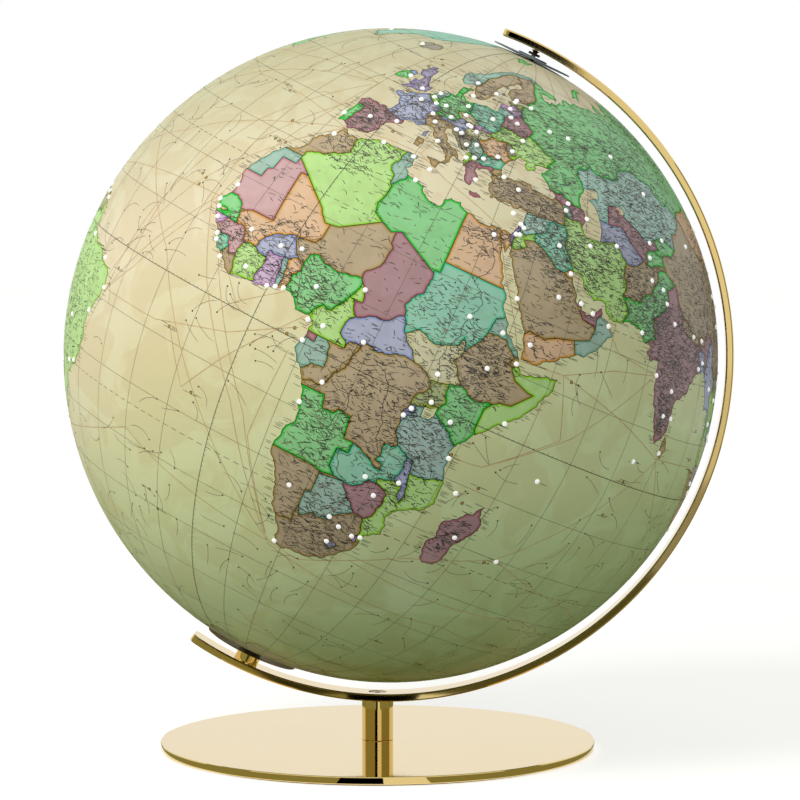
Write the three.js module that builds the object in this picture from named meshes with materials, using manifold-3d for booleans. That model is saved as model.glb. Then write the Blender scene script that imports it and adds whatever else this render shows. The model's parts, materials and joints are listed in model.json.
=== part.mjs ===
// A desk globe: a printed acrylic ball that turns on a slanted axis, held by a bent flat arm on a short post
// and a round foot plate. Millimetres, +Z up. The origin is the middle of the foot's underside, on the post's
// axis. The arm bulges towards +X, and the axis leans that way too, in the XZ plane.
import * as THREE from "three";
import { mergeVertices } from "three/addons/utils/BufferGeometryUtils.js";
import Module from "manifold-3d";

const wasm = await Module();
wasm.setup();

// ---- driving dimensions -------------------------------------------------------------------------------

const SEAT_GAP = 0.3; // left between pieces that seat on or in each other
const RUN_GAP = 0.2; // all round a pin that turns in its bore

// The ball
const BALL_R = 170;
const BALL_WALL = 2.5;
const BALL_FROM_POST = 7; // the ball's middle is this far to +X of the post's axis
const AXIS_TILT = THREE.MathUtils.degToRad(25.4);
const BAND_H = 18; // the band inside the equator that the two halves are glued to
const BAND_T = 1.6;

// The arm, a flat bar bent to an arc
const ARM_T = 4;
const ARM_W = 18;
const ARM_GAP = 7.1; // from the ball to the arm, as if their arcs had one middle
const ARM_SHIFT = 2.95; // the arc's middle is this far to -X of the ball's
const ARM_FROM = THREE.MathUtils.degToRad(-124.5);
const ARM_TO = THREE.MathUtils.degToRad(69.9);
const ARM_CORNER_R = 3.5; // in plan, at the bar's ends
const ARM_EDGE = 0.4; // the broken edge along the bar

// The foot and the post
const FOOT_R = 114;
const PLATE_T = 4;
const PLATE_EDGE = 0.4;
const PAD_T = 1;
const PAD_INSET = 4;
const POST_R = 8.2;
const POST_H = 21; // from the plate to the arm's underside, over the post's axis
const POST_EDGE = 0.3;

// The dish and the hub under the south pole
const DISH_R = 25;
const DISH_T = 1;
const DISH_FLAT_R = 8;
const DISH_RIM_T = 0.5;
const DISH_RIM_GAP = 0.7; // from the dish's rim to the ball
const HUB_R = 6.4;
const HUB_H = 5;

// The pivot that carries the ball, its washer and its bush
const PIVOT_R = 3;
const PIVOT_L = 11; // from the collar to the spigot's tip
const PIVOT_COLLAR_R = 6;
const PIVOT_TAIL_R = 3.8;
const WASHER_T = 0.9;
const SOUTH_HOLE_R = 7.5;

// The guide pin over the north pole, its nut and its collar
const PIN_R = 1.2;
const PIN_L = 18; // from the arm's inner face to the tip
const PIN_CONE_R = 2.4; // where the pin's shoulder meets the arm
const PIN_CONE_L = 1.5;
const PIN_NUT_R = 3.4;
const PIN_NUT_T = 1.8;
const COLLAR_R = 3;
const COLLAR_H = 1.4;
const NORTH_HOLE_R = 5;

// Both bushes
const BUSH_FLANGE_R = 12;
const BUSH_FLANGE_T = 2;

// The hour dial and its washer
const DIAL_R = 21.5;
const DIAL_T = 0.7;
const DIAL_LIFT = 0.4; // from the ball's pole to the dial
const DIAL_WASHER_R = 8;
const DIAL_WASHER_T = 0.7;

// Countersunk screws with a hexagon socket
const ARM_SCREW = { shank: 2.5, head: 4.6, socket: 1.7, length: 12 };
const SOUTH_SCREW = { shank: 2, head: 3.8, socket: 1.4, length: 9 };
const FOOT_SCREW = { shank: 3, head: 5.4, socket: 2, length: 9 };
const SOCKET_DEPTH = 1.4;
const HEAD_SINK = 0.2; // a head's top lies this far below the face around it

// Roundness, in straight steps to the turn
const BALL_STEPS = 48;
const BALL_RINGS = 10; // between the equator and a pole
const FOOT_STEPS = 72;
const POST_STEPS = 32;
const SMALL_STEPS = 24;
const ARM_STEPS = 64;

// ---- what follows from them ---------------------------------------------------------------------------

const plateTop = PAD_T + PLATE_T;
const armInnerR = BALL_R + ARM_GAP;
const armOuterR = armInnerR + ARM_T;
const armX = BALL_FROM_POST - ARM_SHIFT;
const armZ = plateTop + POST_H + Math.sqrt(armOuterR ** 2 - armX ** 2);
const ballInnerR = BALL_R - BALL_WALL;

// From the ball's middle, along the axis, to the arc of that radius: pole is 1 for north and -1 for south.
function reach(radius, pole) {
  const along = pole * ARM_SHIFT * Math.sin(AXIS_TILT);
  return -along + Math.sqrt(radius ** 2 - ARM_SHIFT ** 2 + along ** 2);
}

// Over the south pole, outwards from the ball's middle along the axis.
const southArm = reach(armInnerR, -1);
const hubTop = southArm - SEAT_GAP;
const hubFloor = hubTop - HUB_H;
const dishTop = hubFloor - SEAT_GAP;
const dishFloor = dishTop - DISH_T;
const pivotCollarTop = dishFloor - SEAT_GAP;
const pivotCollarFloor = BALL_R + SEAT_GAP;
const southWasherTop = pivotCollarFloor - SEAT_GAP;
const southBushTop = southWasherTop - WASHER_T - SEAT_GAP;

// Over the north pole, in the same way.
const northArm = reach(armInnerR, 1);
const nutTop = reach(armOuterR, 1) - HEAD_SINK;
const nutFloor = nutTop - PIN_NUT_T;
const dialFloor = BALL_R + DIAL_LIFT;
const dialTop = dialFloor + DIAL_T;
const dialWasherFloor = dialTop + SEAT_GAP;
const dialWasherTop = dialWasherFloor + DIAL_WASHER_T;
const collarFloor = dialWasherTop + SEAT_GAP;
const collarTop = collarFloor + COLLAR_H;

// ---- materials ----------------------------------------------------------------------------------------

const metal = (color, roughness) => new THREE.MeshStandardMaterial({ color, roughness, metalness: 1 });
const plain = (color, roughness) => new THREE.MeshStandardMaterial({ color, roughness, metalness: 0 });

const polishedBrass = metal(0xd9bf7a, 0.12);
const turnedBrass = metal(0xb8974a, 0.25);
const steel = metal(0x9a9a9c, 0.35);
const printedAcrylic = plain(0xc3c493, 0.18);
const plainAcrylic = plain(0xe8e4d6, 0.4);
const nylon = plain(0xeae6da, 0.5);
const blackNylon = plain(0x141414, 0.45);
const greyPlastic = plain(0x7d8a86, 0.4);
const felt = plain(0x2a2a28, 0.95);

// ---- shapes -------------------------------------------------------------------------------------------

// A turned solid about Z. The outline is [radius, height] points, out along the bottom and back in on top.
function turned(outline, steps = SMALL_STEPS) {
  const points = outline.map(([radius, height]) => new THREE.Vector2(radius, height));
  return new THREE.LatheGeometry(points, steps).rotateX(Math.PI / 2);
}

// A turned ring: its outline comes back to where it began.
const ring = (outline, steps) => turned([...outline, outline[0]], steps);

// A plain disc or rod, and a plain washer or tube, between two heights.
const rod = (radius, bottom, top, steps) =>
  turned([[0, bottom], [radius, bottom], [radius, top], [0, top]], steps);
const tube = (inner, outer, bottom, top, steps) =>
  ring([[inner, bottom], [outer, bottom], [outer, top], [inner, top]], steps);

// A closed geometry as a solid that can be cut.
function solidOf(geometry) {
  const bare = geometry.clone();
  bare.deleteAttribute("normal");
  bare.deleteAttribute("uv");
  const merged = mergeVertices(bare);
  return new wasm.Manifold(
    new wasm.Mesh({
      numProp: 3,
      vertProperties: merged.getAttribute("position").array,
      triVerts: new Uint32Array(merged.index.array),
    }),
  );
}

// The geometry with others cut away from it.
function cut(geometry, ...cutters) {
  const cutSolid = cutters.reduce((solid, cutter) => solid.subtract(solidOf(cutter)), solidOf(geometry));
  const { vertProperties, triVerts } = cutSolid.getMesh();
  return new THREE.BufferGeometry()
    .setAttribute("position", new THREE.BufferAttribute(vertProperties, 3))
    .setIndex(new THREE.BufferAttribute(triVerts, 1));
}

// A countersunk screw: the top of its head is at height 0 and its shank points down.
function screw({ shank, head, socket, length }) {
  const body = turned([[0, -length], [shank, -length], [shank, shank - head], [head, 0], [0, 0]]);
  return cut(body, rod(socket, -SOCKET_DEPTH, 1, 6));
}

// What the piece round a screw's head has cut away: the face it is cut into is at height 0.
function screwHole({ shank, head }, depth) {
  const mouth = head + HEAD_SINK + SEAT_GAP;
  const hole = shank + SEAT_GAP;
  return turned([[0, -depth], [hole, -depth], [hole, hole - mouth], [mouth + 1, 1], [0, 1]]);
}

// ---- the assembly -------------------------------------------------------------------------------------

const globe = new THREE.Group();

// What stands on the slanted axis is made upright in these groups, with the ball's middle at the origin. In
// the north group up is north, and in the south group up is south.
const north = new THREE.Group();
north.position.set(BALL_FROM_POST, 0, armZ);
north.rotation.y = AXIS_TILT;
const south = new THREE.Group();
south.rotation.x = Math.PI;
north.add(south);
globe.add(north);
globe.updateMatrixWorld(true);

// A geometry made in one of those groups, as it lies outside it.
const outside = (group, geometry) => geometry.applyMatrix4(group.matrixWorld);

function add(group, name, geometry, material) {
  const mesh = new THREE.Mesh(geometry, material);
  mesh.name = name;
  group.add(mesh);
}

// ---- the foot and the post ----------------------------------------------------------------------------

const footScrewTop = PAD_T + HEAD_SINK;
const armScrewTop = armZ - Math.sqrt(armInnerR ** 2 - armX ** 2) - HEAD_SINK;

// The plate is a turned disc with broken edges. A screw from below holds the post on it.
function footPlate() {
  const disc = turned(
    [
      [0, PAD_T],
      [FOOT_R - PLATE_EDGE, PAD_T],
      [FOOT_R, PAD_T + PLATE_EDGE],
      [FOOT_R, plateTop - PLATE_EDGE],
      [FOOT_R - PLATE_EDGE, plateTop],
      [0, plateTop],
    ],
    FOOT_STEPS,
  );
  return cut(disc, screwHole(FOOT_SCREW, PLATE_T + 1).rotateX(Math.PI).translate(0, 0, PAD_T));
}

// The post's top is hollowed to the arm's round underside, and both of its ends are tapped.
function post() {
  const over = plateTop + POST_H + 1;
  const body = turned(
    [
      [0, plateTop],
      [POST_R - POST_EDGE, plateTop],
      [POST_R, plateTop + POST_EDGE],
      [POST_R, over],
      [0, over],
    ],
    POST_STEPS,
  );
  const saddle = rod(armOuterR + SEAT_GAP, -ARM_W, ARM_W, ARM_STEPS * 4)
    .rotateX(Math.PI / 2)
    .translate(armX, 0, armZ);
  const lowerHole = rod(FOOT_SCREW.shank + SEAT_GAP, plateTop - 1, footScrewTop + FOOT_SCREW.length + SEAT_GAP);
  const upperHole = rod(ARM_SCREW.shank + SEAT_GAP, armScrewTop - ARM_SCREW.length - SEAT_GAP, over + 1);
  return cut(body, saddle, lowerHole, upperHole);
}

add(globe, "foot_pad", rod(FOOT_R - PAD_INSET, 0, PAD_T, FOOT_STEPS), felt);
add(globe, "foot_plate", footPlate(), polishedBrass);
add(globe, "foot_screw", screw(FOOT_SCREW).rotateX(Math.PI).translate(0, 0, footScrewTop), steel);
add(globe, "post", post(), polishedBrass);
add(globe, "arm_screw", screw(ARM_SCREW).translate(0, 0, armScrewTop), turnedBrass);

// ---- the arm ------------------------------------------------------------------------------------------

// What rounds off the two corners of the bar's end, at an angle on its arc. The arc goes on past the end at
// the side where beyond is 1, and at -1 it is the other way round.
function cornerCutter(angle, beyond) {
  const half = ARM_W / 2;
  const depth = ARM_T * 3;
  const kept = new THREE.Shape();
  kept.moveTo(-ARM_W, -half - 2);
  kept.lineTo(-ARM_CORNER_R, -half);
  kept.absarc(-ARM_CORNER_R, ARM_CORNER_R - half, ARM_CORNER_R, -Math.PI / 2, 0, false);
  kept.absarc(-ARM_CORNER_R, half - ARM_CORNER_R, ARM_CORNER_R, 0, Math.PI / 2, false);
  kept.lineTo(-ARM_W, half + 2);
  const rounded = new THREE.ExtrudeGeometry(kept, { depth, bevelEnabled: false, curveSegments: 6 });
  const block = new THREE.BoxGeometry(ARM_CORNER_R * 2, ARM_W + 2, depth - 2).translate(0, 0, depth / 2);
  const outwards = new THREE.Vector3(Math.cos(angle), 0, Math.sin(angle));
  const onwards = new THREE.Vector3(-Math.sin(angle), 0, Math.cos(angle)).multiplyScalar(beyond);
  const across = new THREE.Vector3().crossVectors(outwards, onwards);
  const place = new THREE.Matrix4()
    .makeBasis(onwards, across, outwards)
    .setPosition(outwards.clone().multiplyScalar(armInnerR + (ARM_T - depth) / 2));
  return cut(block, rounded).applyMatrix4(place).translate(armX, 0, armZ);
}

// The bar is longer than its arc by an end's play, which the corner cutters take off.
function arm() {
  const play = 0.5 / armOuterR;
  const shape = new THREE.Shape();
  shape.absarc(0, 0, armOuterR - ARM_EDGE, ARM_FROM - play, ARM_TO + play, false);
  shape.absarc(0, 0, armInnerR + ARM_EDGE, ARM_TO + play, ARM_FROM - play, true);
  const bar = new THREE.ExtrudeGeometry(shape, {
    depth: ARM_W - 2 * ARM_EDGE,
    bevelThickness: ARM_EDGE,
    bevelSize: ARM_EDGE,
    bevelSegments: 1,
    curveSegments: ARM_STEPS,
  })
    .translate(0, 0, ARM_EDGE - ARM_W / 2)
    .rotateX(Math.PI / 2)
    .translate(armX, 0, armZ);
  const through = ARM_T + 2;
  return cut(
    bar,
    cornerCutter(ARM_FROM, -1),
    cornerCutter(ARM_TO, 1),
    screwHole(ARM_SCREW, through).translate(0, 0, armScrewTop + HEAD_SINK),
    outside(south, screwHole(SOUTH_SCREW, through).translate(0, 0, reach(armOuterR, -1))),
    outside(north, rod(PIN_R + SEAT_GAP, northArm - 1, nutTop)),
    outside(north, rod(PIN_NUT_R + SEAT_GAP, nutFloor - SEAT_GAP, nutTop + through, 6)),
  );
}

add(globe, "meridian_arm", arm(), polishedBrass);

// ---- the pivot under the south pole -------------------------------------------------------------------

// The dish follows the ball to its thin rim, and lies flat on the hub.
function dish() {
  const rimFloor = Math.sqrt(BALL_R ** 2 - DISH_R ** 2) + DISH_RIM_GAP;
  return ring([
    [PIVOT_TAIL_R + SEAT_GAP, dishFloor],
    [DISH_FLAT_R, dishFloor],
    [DISH_R, rimFloor],
    [DISH_R, rimFloor + DISH_RIM_T],
    [DISH_FLAT_R, dishTop],
    [PIVOT_TAIL_R + SEAT_GAP, dishTop],
  ], POST_STEPS);
}

// A tail in the hub, a collar under the ball's washer, and a spigot in the ball's bush.
function pivot() {
  const tailTop = hubTop;
  const tip = pivotCollarFloor - PIVOT_L;
  const body = turned([
    [0, tip],
    [PIVOT_R - POST_EDGE, tip],
    [PIVOT_R, tip + POST_EDGE],
    [PIVOT_R, pivotCollarFloor],
    [PIVOT_COLLAR_R, pivotCollarFloor],
    [PIVOT_COLLAR_R, pivotCollarTop],
    [PIVOT_TAIL_R, pivotCollarTop],
    [PIVOT_TAIL_R, tailTop],
    [0, tailTop],
  ]);
  const tapped = rod(SOUTH_SCREW.shank + SEAT_GAP, southScrewTop - SOUTH_SCREW.length - SEAT_GAP, tailTop + 1);
  return cut(body, tapped);
}

const southScrewTop = reach(armOuterR, -1) - HEAD_SINK;

add(south, "south_hub", tube(PIVOT_TAIL_R + SEAT_GAP, HUB_R, hubFloor, hubTop), turnedBrass);
add(south, "south_dish", dish(), polishedBrass);
add(south, "south_pivot", pivot(), steel);
add(south, "south_screw", screw(SOUTH_SCREW).translate(0, 0, southScrewTop), turnedBrass);

// ---- the guide pin over the north pole ----------------------------------------------------------------

// The pin hangs from its nut in the arm. Its shoulder flares out under the arm.
function guidePin() {
  const shoulderTop = northArm - SEAT_GAP;
  const tip = northArm - PIN_L;
  return turned([
    [0, tip],
    [PIN_R, tip],
    [PIN_R, shoulderTop - PIN_CONE_L],
    [PIN_CONE_R, shoulderTop],
    [PIN_R, shoulderTop],
    [PIN_R, nutTop],
    [0, nutTop],
  ]);
}

add(north, "guide_pin", guidePin(), polishedBrass);
add(north, "pin_nut", tube(PIN_R + SEAT_GAP, PIN_NUT_R, nutFloor, nutTop, 6), turnedBrass);
add(north, "pin_collar", tube(PIN_R + RUN_GAP, COLLAR_R, collarFloor, collarTop), blackNylon);

// ---- the hour dial ------------------------------------------------------------------------------------

add(north, "hour_dial", tube(PIN_R + RUN_GAP, DIAL_R, dialFloor, dialTop, POST_STEPS), greyPlastic);
add(north, "dial_washer", tube(PIN_R + RUN_GAP, DIAL_WASHER_R, dialWasherFloor, dialWasherTop), greyPlastic);

// ---- the ball -----------------------------------------------------------------------------------------

// Half of the hollow ball, from the equator to the hole at its pole.
function halfBall(holeR) {
  const wall = (radius) =>
    Array.from({ length: BALL_RINGS + 1 }, (_, i) => {
      const angle = (Math.acos(holeR / radius) * i) / BALL_RINGS;
      return [radius * Math.cos(angle), radius * Math.sin(angle) + SEAT_GAP / 2];
    });
  return ring([...wall(BALL_R), ...wall(ballInnerR).reverse()], BALL_STEPS);
}

// The band follows the slope of the ball's lowest inner facets.
function jointBand() {
  const top = BAND_H / 2;
  const facet = Math.acos(NORTH_HOLE_R / ballInnerR) / BALL_RINGS;
  const middleR = ballInnerR - SEAT_GAP;
  const topR = middleR - top * Math.tan(facet / 2);
  return ring([
    [topR - BAND_T, -top],
    [topR, -top],
    [middleR, 0],
    [topR, top],
    [topR - BAND_T, top],
  ], BALL_STEPS);
}

// A bush whose flange is glued inside the ball and whose neck fills the hole at the pole.
function bush(boreR, holeR, top) {
  const seat = Math.sqrt(ballInnerR ** 2 - BUSH_FLANGE_R ** 2) - SEAT_GAP;
  return ring([
    [boreR, seat - BUSH_FLANGE_T],
    [BUSH_FLANGE_R, seat - BUSH_FLANGE_T],
    [BUSH_FLANGE_R, seat - SEAT_GAP],
    [holeR - SEAT_GAP, seat - SEAT_GAP],
    [holeR - SEAT_GAP, top],
    [boreR, top],
  ]);
}

add(north, "northern_half", halfBall(NORTH_HOLE_R), printedAcrylic);
add(south, "southern_half", halfBall(SOUTH_HOLE_R), printedAcrylic);
add(north, "joint_band", jointBand(), plainAcrylic);
add(north, "north_bush", bush(PIN_R + RUN_GAP, NORTH_HOLE_R, BALL_R - SEAT_GAP), nylon);
add(south, "south_bush", bush(PIVOT_R + RUN_GAP, SOUTH_HOLE_R, southBushTop), nylon);
add(
  south,
  "thrust_washer",
  tube(PIVOT_R + RUN_GAP, PIVOT_COLLAR_R, southBushTop + SEAT_GAP, southWasherTop),
  steel,
);

export default globe;
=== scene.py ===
"""A desk globe: a printed ball on a slanted axis, a flat brass arm, a short post and a round foot."""

import json
import math
import random

import bmesh
import bpy
from mathutils import Matrix, Vector, bvhtree, geometry, kdtree


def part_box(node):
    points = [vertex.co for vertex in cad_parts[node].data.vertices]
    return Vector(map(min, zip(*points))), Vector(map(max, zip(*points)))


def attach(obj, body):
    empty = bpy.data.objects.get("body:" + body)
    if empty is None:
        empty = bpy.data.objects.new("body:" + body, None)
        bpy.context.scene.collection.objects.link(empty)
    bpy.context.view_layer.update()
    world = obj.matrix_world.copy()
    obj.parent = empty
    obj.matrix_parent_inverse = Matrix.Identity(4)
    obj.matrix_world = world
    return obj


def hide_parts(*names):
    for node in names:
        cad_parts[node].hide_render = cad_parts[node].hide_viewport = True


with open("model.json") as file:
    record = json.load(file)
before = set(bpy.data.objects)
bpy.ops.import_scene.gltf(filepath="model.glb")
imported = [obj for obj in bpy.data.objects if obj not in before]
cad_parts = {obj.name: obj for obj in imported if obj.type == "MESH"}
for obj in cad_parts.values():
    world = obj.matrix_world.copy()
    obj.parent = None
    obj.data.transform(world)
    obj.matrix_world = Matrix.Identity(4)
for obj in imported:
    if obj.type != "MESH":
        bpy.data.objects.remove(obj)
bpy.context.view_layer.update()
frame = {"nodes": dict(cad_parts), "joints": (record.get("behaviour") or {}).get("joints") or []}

# ---- the studio ------------------------------------------------------------------------------------------
# A pale floor and a plain white surround. A large soft lamp stands at the left, a weaker one at the right.
# The camera is a long lens, 1.9 m off and looking down a little.

MM = 0.001

stage = bpy.context.scene
stage.view_settings.view_transform = "Standard"

camera = bpy.data.objects.new("camera", bpy.data.cameras.new("camera"))
camera.location = (0.09747, -1.89423, 0.32406)
camera.rotation_euler = (math.radians(90 - 4.228), 0, 0.04521)
camera.data.lens = 163.7
camera.data.clip_start = 0.05
stage.collection.objects.link(camera)
stage.camera = camera


def lamp(name, place, aim, size, power, colour):
    light = bpy.data.lights.new(name, "AREA")
    light.shape = "RECTANGLE"
    light.size, light.size_y = size
    light.energy = power
    light.color = colour
    holder = bpy.data.objects.new(name, light)
    holder.location = place
    holder.rotation_euler = (Vector(aim) - Vector(place)).to_track_quat("-Z", "Y").to_euler()
    holder.visible_glossy = False
    stage.collection.objects.link(holder)


lamp("key_lamp", (-1.3, -1.2, 1.75), (0, 0, 0.25), (1.2, 1.2), 43, (1.0, 0.95, 0.88))
lamp("fill_lamp", (1.9, -1.2, 1.3), (0, 0, 0.2), (1.4, 1.4), 9, (0.95, 1.0, 0.97))


def new_material(name):
    made = bpy.data.materials.new(name)
    made.use_nodes = True
    return made, made.node_tree.nodes, made.node_tree.links, made.node_tree.nodes["Principled BSDF"]


def white_to_lens(nodes, links):
    """1 for the rays that show the surround: the camera's, and those in gloss and in clear pieces."""
    path = nodes.new("ShaderNodeLightPath")
    first = nodes.new("ShaderNodeMath")
    first.operation = "MAXIMUM"
    links.new(path.outputs["Is Camera Ray"], first.inputs[0])
    links.new(path.outputs["Is Glossy Ray"], first.inputs[1])
    second = nodes.new("ShaderNodeMath")
    second.operation = "MAXIMUM"
    links.new(first.outputs[0], second.inputs[0])
    links.new(path.outputs["Is Transmission Ray"], second.inputs[1])
    return second.outputs[0]


SKY_LIGHT = 0.37  # what the surround gives to the object
FLOOR_GLOW = 0.7
world = bpy.data.worlds.new("surround")
world.use_nodes = True
stage.world = world
sky = world.node_tree.nodes["Background"]
sky.inputs["Color"].default_value = (1, 1, 1, 1)
sky_level = world.node_tree.nodes.new("ShaderNodeMapRange")
sky_level.inputs["To Min"].default_value = SKY_LIGHT
sky_level.inputs["To Max"].default_value = 1.0
seen = white_to_lens(world.node_tree.nodes, world.node_tree.links)
world.node_tree.links.new(seen, sky_level.inputs["Value"])
world.node_tree.links.new(sky_level.outputs["Result"], sky.inputs["Strength"])

floor_mesh = bpy.data.meshes.new("floor")
bm = bmesh.new()
bmesh.ops.create_circle(bm, cap_ends=True, segments=64, radius=6)
bm.to_mesh(floor_mesh)
bm.free()
floor = bpy.data.objects.new("floor", floor_mesh)
stage.collection.objects.link(floor)
floor_paint, nodes, links, shader = new_material("floor_paint")
shader.inputs["Base Color"].default_value = (0.5, 0.5, 0.49, 1)
shader.inputs["Roughness"].default_value = 0.7
shader.inputs["Emission Color"].default_value = (1, 1, 1, 1)
floor_level = nodes.new("ShaderNodeMath")
floor_level.operation = "MULTIPLY"
floor_level.inputs[1].default_value = FLOOR_GLOW
links.new(white_to_lens(nodes, links), floor_level.inputs[0])
links.new(floor_level.outputs[0], shader.inputs["Emission Strength"])
floor_mesh.materials.append(floor_paint)

# Cards lie on the floor and stand round the front for the brass to mirror: warm grey ones, a black one left
# of the lens and a white one right of it. Only reflections see them.
WARM_SHADE = (1.0, 0.98, 0.45, 1)
SHADE_BELOW = 0.34  # cards under this level are warm
ON_FLOOR = 0.0006
WALL_TOP = 1.5


def card(name, profile, start, end, level):
    """A card swept round the object between two angles, from the front and to the right, in degrees."""
    bm = bmesh.new()
    low, high = [bm.verts.new((0, -radius, height)) for radius, height in profile]
    turn = Matrix.Rotation(math.radians(start), 3, "Z")
    bmesh.ops.rotate(bm, verts=[low, high], cent=(0, 0, 0), matrix=turn)
    bmesh.ops.spin(bm, geom=[low, high, bm.edges.new((low, high))], axis=(0, 0, 1), cent=(0, 0, 0),
                   angle=math.radians(end - start), steps=max(2, int((end - start) / 4)))
    mesh = bpy.data.meshes.new(name)
    bm.to_mesh(mesh)
    bm.free()
    holder = bpy.data.objects.new(name, mesh)
    stage.collection.objects.link(holder)
    for sight in ("camera", "diffuse", "transmission", "volume_scatter", "shadow"):
        setattr(holder, "visible_" + sight, False)
    paint, nodes, links, shader = new_material(name + "_paint")
    shader.inputs["Base Color"].default_value = (0, 0, 0, 1)
    shader.inputs["Specular IOR Level"].default_value = 0
    shader.inputs["Emission Color"].default_value = (1, 1, 1, 1) if level > SHADE_BELOW else WARM_SHADE
    shader.inputs["Emission Strength"].default_value = level
    mesh.materials.append(paint)


for part, inner, outer, stops, levels in (
    ("near", 0.118, 0.2, (-95, -8, 4.5, 17, 95, 265), (0.3, 0.0, 1.0, 0.28, 0.25)),
    ("mid", 0.2, 0.8, (-95, -17, 4, 31, 95, 265), (0.3, 0.04, 0.1, 0.3, 0.3)),
    ("far", 0.8, 1.5, (-100, -17, 3, 31, 100), (0.3, 0.03, 0.35, 0.3)),
    ("last", 1.5, 3.0, (-100, -17, 2.5, 31, 100), (0.33, 0.0, 0.8, 0.3)),
    ("wall", 3.0, 3.0, (-100, -17, 2.2, 31, 100), (0.33, 0.0, 1.0, 0.3)),
):
    low, high = ON_FLOOR, ON_FLOOR if outer > inner else WALL_TOP
    for i, level in enumerate(levels):
        card(f"card_{part}_{i}", ((inner, low), (outer, high)), stops[i], stops[i + 1], level)

# ---- the foot --------------------------------------------------------------------------------------------
# A 4 mm brass disc, 228 mm across, mirror polished and lacquered, with its edges just broken. A felt pad is
# glued under it, set back from the edge, and a screw from below holds the post.


def finished(name, body, bm, material, smooth=30, place=None):
    """The bmesh as a piece that rides on a body. It is in millimetres; place turns and moves it."""
    bm.transform(Matrix.Scale(MM, 4) @ (place or Matrix()))
    mesh = bpy.data.meshes.new(name)
    bm.to_mesh(mesh)
    bm.free()
    mesh.polygons.foreach_set("use_smooth", [True] * len(mesh.polygons))
    mesh.set_sharp_from_angle(angle=math.radians(smooth))
    mesh.materials.append(material)
    piece = bpy.data.objects.new(name, mesh)
    stage.collection.objects.link(piece)
    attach(piece, body)
    return piece


def turned(outline, steps):
    """A solid turned about Z from [radius, height] points. An outline off the axis is closed into a ring."""
    bm = bmesh.new()
    points = [bm.verts.new((radius, 0, height)) for radius, height in outline]
    if outline[0][0] > 0:
        points.append(points[0])
    edges = [bm.edges.new(pair) for pair in zip(points, points[1:])]
    bmesh.ops.spin(bm, geom=bm.verts[:] + edges, axis=(0, 0, 1), cent=(0, 0, 0), angle=math.tau,
                   steps=steps, use_merge=True)
    bmesh.ops.remove_doubles(bm, verts=bm.verts, dist=0.0005)
    bmesh.ops.recalc_face_normals(bm, faces=bm.faces)
    return bm


def effect(name, inputs, outputs):
    """A new node group, with its given and put sockets. Each socket is a name and a kind."""
    tree = bpy.data.node_groups.new(name, "ShaderNodeTree")
    for way, sockets in (("INPUT", inputs), ("OUTPUT", outputs)):
        for label, kind in sockets.items():
            tree.interface.new_socket(label, in_out=way, socket_type="NodeSocket" + kind)
    given = tree.nodes.new("NodeGroupInput").outputs
    put = tree.nodes.new("NodeGroupOutput").inputs
    return tree, tree.nodes, tree.links, given, put


def noise(nodes, links, vector, scale, detail):
    """Cloudy noise. Gives the socket of its level."""
    clouds = nodes.new("ShaderNodeTexNoise")
    clouds.inputs["Scale"].default_value = scale
    clouds.inputs["Detail"].default_value = detail
    links.new(vector, clouds.inputs["Vector"])
    return clouds.outputs["Fac"]


def bumped(nodes, links, height, strength, distance):
    """A surface with the height pressed into it. The strength is a value or a socket."""
    bump = nodes.new("ShaderNodeBump")
    bump.inputs["Distance"].default_value = distance
    if isinstance(strength, float):
        bump.inputs["Strength"].default_value = strength
    else:
        links.new(strength, bump.inputs["Strength"])
    links.new(height, bump.inputs["Height"])
    return bump.outputs["Normal"]


polish_haze, nodes, links, given, put = effect(
    "polish_haze",
    {"Vector": "Vector", "Colour": "Color", "Roughness": "Float", "Wear": "Float"},
    {"Colour": "Color", "Roughness": "Float", "Normal": "Vector"},
)
haze = noise(nodes, links, given["Vector"], 22.0, 4.0)
dull = nodes.new("ShaderNodeMath")
dull.operation = "ADD"
links.new(given["Roughness"], dull.inputs[0])
links.new(given["Wear"], dull.inputs[1])
rough = nodes.new("ShaderNodeMapRange")
rough.inputs["From Min"].default_value = 0.35
rough.inputs["From Max"].default_value = 0.75
links.new(haze, rough.inputs["Value"])
links.new(given["Roughness"], rough.inputs["To Min"])
links.new(dull.outputs[0], rough.inputs["To Max"])
links.new(rough.outputs["Result"], put["Roughness"])
tone = nodes.new("ShaderNodeMix")
tone.data_type = "RGBA"
tone.blend_type = "MULTIPLY"
tone.inputs["B"].default_value = (0.96, 0.94, 0.88, 1)
links.new(haze, tone.inputs["Factor"])
links.new(given["Colour"], tone.inputs["A"])
links.new(tone.outputs["Result"], put["Colour"])
fine = noise(nodes, links, given["Vector"], 260.0, 6.0)
links.new(bumped(nodes, links, fine, 0.012, 0.0002), put["Normal"])


def metal(name, colour, roughness, wear):
    """Polished metal under clear lacquer, with faint polishing haze."""
    made, nodes, links, shader = new_material(name)
    shader.inputs["Metallic"].default_value = 1.0
    spot = nodes.new("ShaderNodeTexCoord")
    haze = nodes.new("ShaderNodeGroup")
    haze.node_tree = polish_haze
    haze.inputs["Colour"].default_value = (*colour, 1)
    haze.inputs["Roughness"].default_value = roughness
    haze.inputs["Wear"].default_value = wear
    links.new(spot.outputs["Object"], haze.inputs["Vector"])
    links.new(haze.outputs["Colour"], shader.inputs["Base Color"])
    links.new(haze.outputs["Roughness"], shader.inputs["Roughness"])
    links.new(haze.outputs["Normal"], shader.inputs["Normal"])
    return made


polished = metal("polished_brass", (0.77, 0.58, 0.24), 0.04, 0.03)
turned_brass = metal("turned_brass", (0.6, 0.42, 0.18), 0.2, 0.08)

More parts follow.
